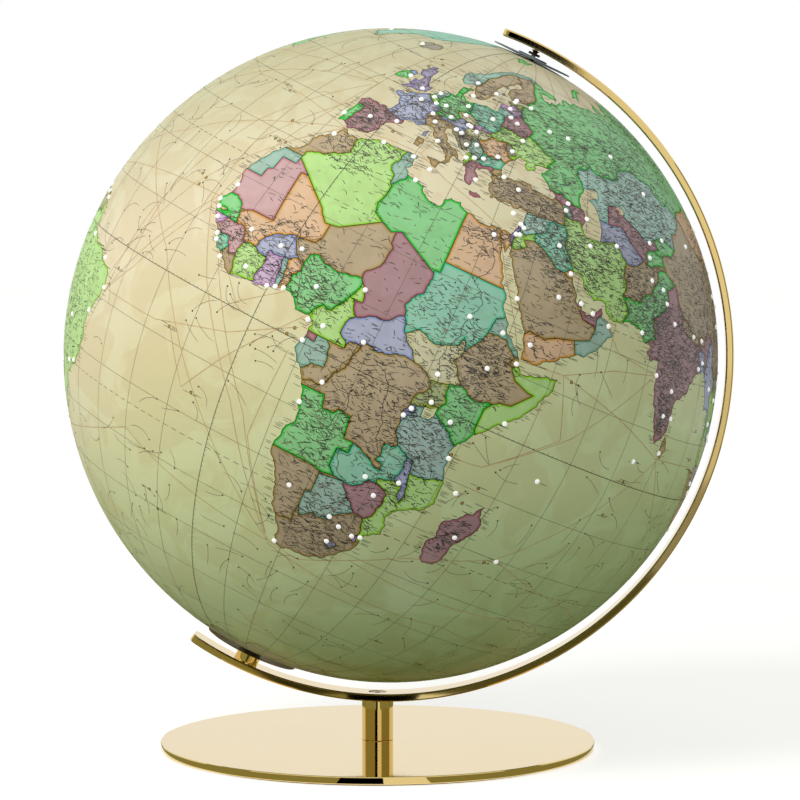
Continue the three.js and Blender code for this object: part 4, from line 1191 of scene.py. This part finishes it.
cloud_mask, nodes, links, given, put = effect(
    "cloud_mask",
    {
        "Vector": "Vector",
        "Scale": "Float",
        "Detail": "Float",
        "Distortion": "Float",
        "Low": "Float",
        "High": "Float",
        "Amount": "Float",
    },
    {"Mask": "Float"},
)
clouds = nodes.new("ShaderNodeTexNoise")
for label in ("Vector", "Scale", "Detail", "Distortion"):
    links.new(given[label], clouds.inputs[label])
cut_off = nodes.new("ShaderNodeMapRange")
links.new(clouds.outputs["Fac"], cut_off.inputs["Value"])
links.new(given["Low"], cut_off.inputs["From Min"])
links.new(given["High"], cut_off.inputs["From Max"])
links.new(given["Amount"], cut_off.inputs["To Max"])
links.new(cut_off.outputs["Result"], put["Mask"])


def spread(nodes, links, value, low, high, low_to, high_to):
    """The value, stretched from one span to another and held at its ends."""
    fit = nodes.new("ShaderNodeMapRange")
    fit.inputs["From Min"].default_value = low
    fit.inputs["From Max"].default_value = high
    fit.inputs["To Min"].default_value = low_to
    fit.inputs["To Max"].default_value = high_to
    links.new(value, fit.inputs["Value"])
    return fit.outputs["Result"]


def film(name, roughness):
    """Printed film under a clear gloss. The gloss is thin, and dies away towards the ball's outline."""
    made, nodes, links, shader = new_material(name)
    shader.inputs["Roughness"].default_value = roughness
    shader.inputs["Coat Roughness"].default_value = 0.08
    shader.inputs["Coat IOR"].default_value = 1.4
    where = nodes.new("ShaderNodeTexCoord")
    tooth = nodes.new("ShaderNodeGroup")
    tooth.node_tree = film_tooth
    tooth.inputs["Strength"].default_value = 0.03
    links.new(where.outputs["Object"], tooth.inputs["Vector"])
    links.new(tooth.outputs["Normal"], shader.inputs["Normal"])
    facing = nodes.new("ShaderNodeLayerWeight").outputs["Facing"]
    for label, middle, outline in (("Coat Weight", 0.5, 0.08), ("Specular IOR Level", 0.2, 0.02)):
        links.new(spread(nodes, links, facing, 0.3, 0.8, middle, outline), shader.inputs[label])
    return made, nodes, links, shader, where


def mixed(nodes, links, mode, amount, first, second):
    """Two colours mixed. The amount and the colours are values or sockets."""
    mix = nodes.new("ShaderNodeMix")
    mix.data_type = "RGBA"
    mix.blend_type = mode
    for socket, value in (("Factor", amount), ("A", first), ("B", second)):
        if isinstance(value, (int, float, tuple)):
            mix.inputs[socket].default_value = value
        else:
            links.new(value, mix.inputs[socket])
    return mix.outputs["Result"]


def patches(nodes, links, where, scale, detail, distortion, low, high, amount):
    """The cloud mask in a material, with its own values."""
    clouds = nodes.new("ShaderNodeGroup")
    clouds.node_tree = cloud_mask
    clouds.inputs["Scale"].default_value = scale
    clouds.inputs["Detail"].default_value = detail
    clouds.inputs["Distortion"].default_value = distortion
    clouds.inputs["Low"].default_value = low
    clouds.inputs["High"].default_value = high
    clouds.inputs["Amount"].default_value = amount
    links.new(where.outputs["Object"], clouds.inputs["Vector"])
    return clouds.outputs["Mask"]


SHADE_LEAN = Vector((0.25, 0.0, -0.97))  # the sea's cream and green, and its painted shade, change along this line
sea_film, nodes, links, shader, where = film("sea_film", 0.42)
shade_lean = nodes.new("ShaderNodeVectorMath")
shade_lean.operation = "DOT_PRODUCT"
shade_lean.inputs[1].default_value = SHADE_LEAN
links.new(where.outputs["Object"], shade_lean.inputs[0])
middle = SHADE_LEAN.dot(CENTRE * MM)
# The ramp paints shade into the sea: darker at the ball's top and most at its bottom as it stands, over the
# cream to green of the sea's own ink.
ramp = nodes.new("ShaderNodeValToRGB")
SEA_INKS_AND_SHADE = (
    (0.0, (0.54, 0.54, 0.33)),
    (0.22, (0.76, 0.70, 0.50)),
    (0.4, (0.75, 0.71, 0.45)),
    (0.6, (0.69, 0.76, 0.43)),
    (0.72, (0.63, 0.74, 0.40)),
    (0.86, (0.45, 0.60, 0.29)),
    (1.0, (0.33, 0.46, 0.19)),
)
while len(ramp.color_ramp.elements) < len(SEA_INKS_AND_SHADE):
    ramp.color_ramp.elements.new(0.5)
for stop, (at, colour) in zip(ramp.color_ramp.elements, SEA_INKS_AND_SHADE):
    stop.position = at
    stop.color = (*colour, 1)
reach = BALL_R * MM
links.new(
    spread(nodes, links, shade_lean.outputs["Value"], middle - reach, middle + reach, 0, 1), ramp.inputs["Fac"]
)
ridges = patches(nodes, links, where, 26.0, 6.0, 1.4, 0.46, 0.54, 0.22)
sea = mixed(nodes, links, "MULTIPLY", ridges, ramp.outputs["Color"], (0.78, 0.60, 0.40, 1))
depth = patches(nodes, links, where, 9.0, 3.0, 0.0, 0.35, 0.65, 0.25)
sea = mixed(nodes, links, "MULTIPLY", depth, sea, (0.86, 0.90, 0.84, 1))
links.new(sea, shader.inputs["Base Color"])

land_film, nodes, links, shader, where = film("land_film", 0.4)
ink = nodes.new("ShaderNodeAttribute")
ink.attribute_name = "tint"
way_in = nodes.new("ShaderNodeAttribute")
way_in.attribute_name = "inland"
strong = nodes.new("ShaderNodeHueSaturation")
strong.inputs["Saturation"].default_value = 1.75
strong.inputs["Value"].default_value = 0.86
links.new(ink.outputs["Color"], strong.inputs["Color"])
fade = spread(nodes, links, way_in.outputs["Fac"], 0.5, 1.5, 0, 1)
land = mixed(nodes, links, "MIX", fade, strong.outputs["Color"], ink.outputs["Color"])
hills = patches(nodes, links, where, 120.0, 8.0, 0.6, 0.4, 0.7, 0.3)
land = mixed(nodes, links, "MULTIPLY", hills, land, (0.62, 0.58, 0.52, 1))
links.new(land, shader.inputs["Base Color"])

bm.transform(Matrix.Scale(MM, 4) @ globe)
mesh = bpy.data.meshes.new("map_film")
bm.to_mesh(mesh)
bm.free()
mesh.polygons.foreach_set("use_smooth", [True] * len(mesh.polygons))
mesh.normals_split_custom_set_from_vertices([(v.co / MM - CENTRE).normalized() for v in mesh.vertices])
mesh.materials.append(sea_film)
mesh.materials.append(land_film)
map_film = bpy.data.objects.new("map_film", mesh)
stage.collection.objects.link(map_film)
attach(map_film, "ball")

# ---- the map's line work ---------------------------------------------------------------------------------
# Printed lines, a little proud as ink is: shores and borders, rivers, the ten-degree net with a darker
# equator and Greenwich line, broken lines for the tropics, brown sea routes, current arrows, shading and
# small strokes.

INK_R = 170.27
DARK, BROWN, FAINT = 0, 1, 2
SHORE_W, BORDER_W, RIVER_W, ROUTE_W, STROKE_W = 0.3, 0.42, 0.26, 0.3, 0.3
NET_W, ZERO_W, TICK_W, TROPIC_W, CURRENT_W, SHADE_W = 0.2, 0.3, 0.16, 0.22, 0.2, 0.26
bm = bmesh.new()


def ribbon(path, width, ink, ends=1.0):
    """A flat printed line on the ball along points in degrees."""
    outs = [outward(*p) for p in path]
    rows = []
    for i, here in enumerate(outs):
        side = here.cross(outs[min(i + 1, len(outs) - 1)] - outs[max(i - 1, 0)])
        if side.length < 1e-9:
            continue
        taper = ends if i in (0, len(outs) - 1) else 1.0
        side = side.normalized() * width * taper / 2
        rows.append((bm.verts.new(here * INK_R + side), bm.verts.new(here * INK_R - side)))
    for (a, b), (c, d) in zip(rows, rows[1:]):
        bm.faces.new((a, b, d, c)).material_index = ink


def chained(pairs):
    """The pairs of points as long runs, broken where three or more meet."""
    meets = {}
    for a, b in pairs:
        meets.setdefault(a, set()).add(b)
        meets.setdefault(b, set()).add(a)
    used, runs = set(), []
    for begin in [p for p in meets if len(meets[p]) != 2] + list(meets):
        for step in sorted(meets[begin]):
            run, here = [begin], step
            if tuple(sorted((begin, here))) in used:
                continue
            used.add(tuple(sorted((begin, here))))
            while True:
                run.append(here)
                onward = [p for p in meets[here] if tuple(sorted((here, p))) not in used]
                if len(meets[here]) != 2 or not onward:
                    break
                used.add(tuple(sorted((here, onward[0]))))
                here = onward[0]
            runs.append(run)
    return runs


shore_pairs, border_pairs = [], []
for rim in walls:
    beside = {region_of[f] for f in across[rim]}
    if len(beside) == 2:
        (shore_pairs if None in [regions[n][0] for n in beside] else border_pairs).append(rim)
for pairs, width in ((shore_pairs, SHORE_W), (border_pairs, BORDER_W)):
    for run in chained(sorted(pairs)):
        ribbon([points[i] for i in run], width, DARK)

RIVERS = """
31.2,31 31,29 33,26 32.8,24 31,21 33.8,18 32.5,15.6 32.5,12 31,9.5 31.6,5 31.5,2
32.5,15.6 35,11.5 37.3,11.5
-10.5,9.5 -6,13.5 -3,16.5 0,16.3 3,12 5,8 6.5,5
6.7,7.8 10,8 13.5,9.3
12.5,-6 15.5,-4.3 17,-1 18.5,1.5 22,2 25.3,0 26,-4 27,-8 29,-11
17.8,0 18.6,4.3 22.5,4.2 26,3.5 29,3.5
16.5,-3.3 20,-4.3 20.5,-7 19,-11
36,-18.5 33,-16.3 30,-15.7 26,-17.8 23.5,-16.5 22.5,-13 24,-11.5
16.5,-28.6 20,-28.5 24,-29 27,-30.5
33.5,-25 31,-22.3 28,-23
48,30.5 46,31.5 43,33.5 40.5,35 38.5,36.8 38.8,39
47.5,31 45,33.2 43.3,36 41,38
67.5,24 68.5,27 71,30 72,33.5 76,35 79,33
90,22.5 88,24.7 84,25.7 80,26.8 78.5,29.5
48,46 45,48.7 46.5,51 49.5,53.5 48,56 40,58
29.5,45.2 28,44 23,43.8 20.5,45 19,47.5 16,48.3 11,48.7 8.5,48
32,46.5 35,48.5 31,50.5 31,53.5
70,66.5 66,63 69,61 75,59.5 83,55
82,71 87,66 90,61 93,56 95,52
127,72 124,66 130,62 118,60 108,55
121.5,31.5 117,31 112,30 106,29.5 101,27 98,31 92,34.5
118.5,37.8 114,35 110,36.5 110.5,40.5 104,37 98,35
106.5,10 106,14 104.5,17.5 101,20.5 98,26 96,31
-89.3,29.3 -91,33 -89.5,37 -91,41 -94,46
-90.3,38.8 -96,41.5 -101,46 -110,47.8
-50.5,-0.5 -55,-2.2 -60,-3.2 -65,-3 -70,-4.2 -74,-5 -77,-8
-58.5,-34 -60,-32 -58.5,-27.3 -54.5,-24 -51,-20
-61,9 -64,8 -67.3,6 -67,3.5
"""
for text in RIVERS.strip().splitlines():
    ribbon(wandered(degrees(text), 0.16), RIVER_W, DARK, ends=0.4)

NET = 10
for lon in range(-180, 180, NET):
    top = 80 if lon % 30 else int(MAP_END)
    width, ink = (ZERO_W, DARK) if lon == 0 else (NET_W, FAINT)
    ribbon([(lon, lat) for lat in range(-top, top + 1, 2)], width, ink)
for lat in range(-80, 90, NET):
    width, ink = (ZERO_W, DARK) if lat == 0 else (NET_W, FAINT)
    ribbon([(lon, lat) for lon in range(-180, 181, 2)], width, ink)
for lon in range(-180, 180):
    tall = 0.45 if lon % 5 == 0 else 0.25
    ribbon([(lon, 0), (lon, tall)], TICK_W, DARK)
for lat in range(-80, 80):
    ribbon([(0, lat), (0.3 / math.cos(math.radians(lat)), lat)], TICK_W, DARK)
for lat in (23.44, -23.44, 66.56, -66.56):
    for lon in range(-180, 180, 2):
        ribbon([(lon, lat), (lon + 0.6, lat), (lon + 1.2, lat)], TROPIC_W, DARK)

# Sea routes, each a great circle from port to port.
ROUTES = """
-10,48 -12,38 -18,15 -8,2 5,-15 17,-34.5 24,-35.5 33,-31 42,-26 57,-20 80,5.5
-18,15 -34,-8 -43,-23.5
17,-34.5 -20,-28 -55,-36
17,-34.5 -5,-16 -22,3 -50,20 -73,40
17,-35 60,-37 114,-32.5
33,-31 75,-30 115,-32.5
12.3,43 11,38 18,35.5 32.3,31.6
-6,36 3,37.7 11,38
-6,36 -40,38 -73,40.3
-6,36 -25,15 -35,-6
-10,48 -40,46 -70,41.5
-11,47 -24,30 -31,8 -34,-8
-9,43 -20,26 -19,14 -11,2 2,-14 16,-33.5
-6,36 -18,32 -40,22 -61,13
-10,48 -28,44 -46,36 -62,24
-18,13 -28,-2 -35,-9
-35,-8 -18,-8 -3,-4 8,2
-18,15 -45,13 -61,11
43.5,12.3 52,13 66,10 79.5,5.8 95,6 103,1
52,13 62,17 72.5,18.8
52,13 56,3 45,-6 40,-6.5
45,-6 58,4 72.5,18.8
80,5.5 92,-10 114,-31
57,-20 85,-25 114,-31
43,12.5 40,18 36,24 32.6,29.8
3,6 -4,1 -18,14
8,4 -2,-8 -8,-16 -14,-8
8,-2 7,-18 16,-33
56.5,25.2 62,20 72.5,18.8
103,1 112,12 121,30 139,34.5
140,34.5 175,40 -150,42 -124,38
-80,7 -105,12 -120,33
-80,7 -120,-5 175,-37
-73,-35 -110,-25 -150,-17
153,-27 170,-36 -150,-18
"""
for text in ROUTES.strip().splitlines():
    ports = [outward(*p) for p in degrees(text)]
    outs = []
    for a, b in zip(ports, ports[1:]):
        steps = max(2, int(math.degrees(a.angle(b)) / 1.5))
        outs += [a.slerp(b, i / steps) for i in range(steps)]
    outs.append(ports[-1])
    path = [(math.atan2(p.y, p.x), math.asin(max(-1, min(1, p.z)))) for p in outs]
    ribbon([(math.degrees(lon), math.degrees(lat)) for lon, lat in path], ROUTE_W, BROWN)


def at_sea(lon, lat):
    return regions[region_of[face_at(lon, lat)] or 0][0] is None


# Current arrows: short curved tails, each with a dot for its head. They run with the trade winds' belts.
chance = random.Random(7)
for i in range(1100):
    lon, lat = chance.uniform(-180, 180), math.degrees(math.asin(chance.uniform(-0.95, 0.95)))
    if not at_sea(lon, lat):
        continue
    trade = math.cos(math.radians(lat) * 6)
    heading = math.pi * (0.5 + 0.5 * trade) + chance.uniform(-0.7, 0.7)
    step, bend, path = chance.uniform(0.4, 0.65), chance.uniform(-0.2, 0.2), [(lon, lat)]
    for _ in range(8):
        shrink = math.cos(math.radians(lat))
        lon, lat = lon + step * math.cos(heading) / shrink, lat + step * math.sin(heading)
        heading += bend
        path.append((lon, lat))
    if abs(lon) < 178 and all(at_sea(*p) for p in path[::2]):
        ribbon(path, CURRENT_W, FAINT, ends=0.4)
        head = (lon + 0.28 * math.cos(heading) / shrink, lat + 0.28 * math.sin(heading))
        ribbon([(lon, lat), head], 0.75, DARK)

# Shore hatching: short ruled lines out to sea, as an engraver shades a coast.
chance = random.Random(11)
for a, b in sorted(shore_pairs):
    lon, lat = points[a]
    if abs(lat) > 66 or chance.random() > 0.3:
        continue
    for way in (1, -1):
        shrink = math.cos(math.radians(lat))
        far = lon + way * chance.uniform(0.9, 2.1) / shrink
        if abs(far) < 178 and at_sea(lon + way * 0.35 / shrink, lat) and at_sea(far, lat):
            line = [(lon + way * 0.3 / shrink, lat), ((lon + far) / 2, lat), (far, lat)]
            ribbon(line, SHADE_W, DARK, ends=0.5)

# Small streams, tracks and towns, thick where people are many. Each row is a middle, a reach and a count.
SETTLED = """
8,49 14 2520
28,50 14 1260
-3,40 5 290
-1,34.5 6 360
15,31 8 80
30,29 4 160
36,36 8 810
48,34 8 710
54,30 9 540
68,31 7 680
78,22 10 1500
78,12 5 540
90,24 5 240
46,24 9 160
45,15 5 140
0,9 9 770
8,8 6 330
-12,10 5 300
22,-3 11 620
38,8 6 510
34,-3 7 450
33,-14 7 360
27,-28 8 610
18,-12 6 260
20,-22 7 260
46,-19 4 210
31,13 8 320
3,26 14 130
20,18 12 130
65,42 12 700
68,49 9 250
105,34 15 1500
88,34 8 500
60,57 20 2600
110,32 14 900
-45,-12 14 600
-60,-10 16 300
-90,38 18 900
"""
for text in SETTLED.strip().splitlines():
    middle, reach, count = text.split()
    (mid_lon, mid_lat), reach = degrees(middle)[0], float(reach)
    for i in range(int(count)):
        far, way = reach * chance.random() ** 0.6, chance.uniform(0, math.tau)
        lat = mid_lat + far * math.sin(way)
        lon = mid_lon + far * math.cos(way) / math.cos(math.radians(lat))
        if abs(lat) > 80 or abs(lon) > 178 or at_sea(lon, lat):
            continue
        if i % 4 == 0:
            ribbon([(lon - 0.1, lat), (lon + 0.1, lat)], 0.5, DARK)
            continue
        heading, path = chance.choice((0, math.pi)) + chance.gauss(0, 0.3), [(lon, lat)]
        for _ in range(chance.choice((2, 3, 3, 4))):
            shrink = math.cos(math.radians(lat))
            heading += chance.uniform(-0.45, 0.45)
            lon, lat = lon + 0.32 * math.cos(heading) / shrink, lat + 0.32 * math.sin(heading)
            path.append((lon, lat))
        if not at_sea(lon, lat):
            ribbon(path, STROKE_W, DARK if i % 3 else FAINT, ends=0.6)


def print_ink(name, colour):
    """Printing ink on the film, a little paler where it lies thin."""
    made, nodes, links, shader, where = film(name, 0.45)
    uneven = patches(nodes, links, where, 300.0, 4.0, 0.0, 0.3, 0.7, 1.0)
    pale = tuple(c * 1.5 + 0.03 for c in colour)
    links.new(mixed(nodes, links, "MIX", uneven, (*colour, 1), (*pale, 1)), shader.inputs["Base Color"])
    return made


dark_ink = print_ink("dark_ink", (0.02, 0.018, 0.014))
line_work = finished("map_lines", "ball", bm, dark_ink, smooth=180, place=globe)
lines_mesh = line_work.data
lines_mesh.materials.append(print_ink("brown_ink", (0.40, 0.26, 0.11)))
lines_mesh.materials.append(print_ink("faint_ink", (0.13, 0.11, 0.07)))
radial = [(v.co / MM - CENTRE).normalized() for v in lines_mesh.vertices]
lines_mesh.normals_split_custom_set_from_vertices(radial)

# ---- the city stones -------------------------------------------------------------------------------------
# Clear cut stones, 2.6 mm across, glued on the film at each capital and a few other large cities. Each is a
# low crown with a flat top, set by its girdle. They are near white and glow a little; the glow is painted
# sparkle for the glints of their facets.

CITIES = (
    "-16,18.1 -17.4,14.7 -16.6,13.5 -15.6,11.9 -13.7,9.5 -13.2,8.5 -10.8,6.3 -8,12.6 -1.5,12.4 2.1,13.5"
    " -5.3,6.8 -0.2,5.6 1.2,6.1 2.6,6.5 7.5,9.1 15.05,12.1 11.5,3.9 8.8,3.75 9.45,0.4 18.6,4.4 15.3,-4.3"
    " -6.8,34 -9.1,38.7 -3.7,40.4 2,41.9 3.1,36.8 10.2,36.8 13.2,32.9 31.2,30 32.6,15.5 38.9,15.3"
    " 43.1,11.6 38.7,9 31.6,4.85 45.3,2 36.8,-1.3 32.6,0.35 30.1,-1.9 29.4,-3.4 39.3,-6.8 33.8,-14"
    " 28.3,-15.4 31,-17.8 13.2,-8.8 17.1,-22.6 25.9,-24.7 28.2,-25.7 31.1,-26.3 27.5,-29.3 18.4,-33.9"
    " 47.5,-18.9 57.5,-20.2 32.6,-25.9 55.5,-4.6 43.3,-11.7 46.7,24.7 39.2,21.5 44.2,15.35 58.4,23.6"
    " 54.4,24.5 51.5,25.3 48,29.4 44.4,33.3 51.4,35.7 36.3,33.5 35.5,33.9 35.9,32 35.2,31.8 33.4,35.2"
    " 32.9,39.9 29,41 23.7,38 23.3,42.7 26.1,44.4 21.4,42 19.8,41.3 20.5,44.8 18.4,43.9 16,45.8 14.5,46"
    " 19,47.5 16.4,48.2 17.1,48.1 14.4,50.1 21,52.2 13.4,52.5 11.6,48.1 8.6,50.1 7.4,47 6.1,49.6 4.4,50.9"
    " 4.9,52.4 2.3,48.9 -0.1,51.5 -6.3,53.3 12.5,41.9 14.5,35.9 9.2,45.5 12.6,55.7 10.7,59.9 18,59.3"
    " 24.9,60.2 24.7,59.4 24.1,56.9 25.3,54.7 27.6,53.9 30.5,50.4 28.8,47 37.6,55.8 30.3,59.9 44.8,41.7"
    " 44.5,40.2 49.9,40.4 58.4,37.9 69.3,41.3 68.8,38.5 74.6,42.9 71.4,51.2 44,56.3 60.6,56.8 87.6,43.8"
    " 103.8,36 104.1,30.7 106.5,29.6 108.9,34.3 69.2,34.5 67,24.9 73,33.7 74.3,31.5 77.2,28.6 72.9,19"
    " 78.5,17.4 77.6,13 80.3,13 88.4,22.6 79.9,6.9 73.5,4.2 85.3,27.7 89.6,27.5 90.4,23.8 96.1,19.8"
    " 100.5,13.8 102.6,18 104.9,11.6 105.8,21 106.7,10.8 101.7,3.1 103.8,1.3 106.8,-6.2 115,4.9 121,14.6"
    " 114.2,22.4 121.5,31.2 116.4,39.9 125.8,39 127,37.5 139.7,35.7 135.5,34.7 121.5,25 106.9,47.9"
    " 149.1,-35.3 151.2,-33.9 115.9,-31.9 147.2,-9.4 174.8,-41.3 178.4,-18.1 -21.9,64.1 -51.7,64.2"
    " -75.7,45.4 -79.4,43.7 -77,38.9 -74,40.7 -87.6,41.9 -118.2,34 -122.4,37.8 -80.2,25.8 -99.1,19.4"
    " -90.5,14.6 -87.2,14.1 -89.2,13.7 -86.3,12.1 -84.1,9.9 -79.5,9 -82.4,23.1 -76.8,18 -72.3,18.5"
    " -69.9,18.5 -66.1,18.4 -61.5,10.7 -66.9,10.5 -58.2,6.8 -55.2,5.8 -52.3,4.9 -74.1,4.7 -78.5,-0.2"
    " -77,-12 -68.1,-16.5 -57.6,-25.3 -56.2,-34.9 -58.4,-34.6 -70.7,-33.4 -47.9,-15.8 -46.6,-23.5"
    " -43.2,-22.9 -38.5,-13 -34.9,-8.1 -38.5,-3.7 -48.5,-1.4"
)
STONE_R = 1.3
stone = bpy.data.meshes.new("stone")
cut = bmesh.new()
bmesh.ops.create_cone(cut, cap_ends=True, segments=8, radius1=STONE_R, radius2=STONE_R * 0.58, depth=0.55)
bmesh.ops.translate(cut, verts=cut.verts, vec=(0, 0, 0.55))
girdle = [e for e in cut.edges if all(v.co.z < 0.4 for v in e.verts)]
foot = bmesh.ops.extrude_edge_only(cut, edges=girdle)
sunk = [v for v in foot["geom"] if isinstance(v, bmesh.types.BMVert)]
bmesh.ops.translate(cut, verts=sunk, vec=(0, 0, -0.25))
bmesh.ops.recalc_face_normals(cut, faces=cut.faces)
cut.to_mesh(stone)
cut.free()
bm = bmesh.new()
for city in degrees(CITIES):
    out = outward(*city)
    first = len(bm.verts)
    bm.from_mesh(stone)
    bm.verts.ensure_lookup_table()
    turn = out.to_track_quat("Z", "Y").to_matrix().to_4x4() @ Matrix.Rotation(city[0], 4, "Z")
    bmesh.ops.transform(bm, matrix=Matrix.Translation(out * FILM_R) @ turn, verts=bm.verts[first:])
crystal, nodes, links, shader = new_material("cut_crystal")
shader.inputs["Roughness"].default_value = 0.04
shader.inputs["IOR"].default_value = 1.6
shader.inputs["Specular IOR Level"].default_value = 0.8
# A faint white glow, painted sparkle: it stands in for the glints of the stones' facets.
shader.inputs["Emission Color"].default_value = (1, 1, 1, 1)
shader.inputs["Emission Strength"].default_value = 0.3
spot = nodes.new("ShaderNodeTexCoord")
flaws = patches(nodes, links, spot, 700.0, 4.0, 0.0, 0.0, 1.0, 1.0)
glint = mixed(nodes, links, "MIX", flaws, (0.86, 0.88, 0.9, 1), (1.0, 0.99, 0.96, 1))
links.new(glint, shader.inputs["Base Color"])
stones = finished("city_stones", "ball", bm, crystal, smooth=10, place=globe)
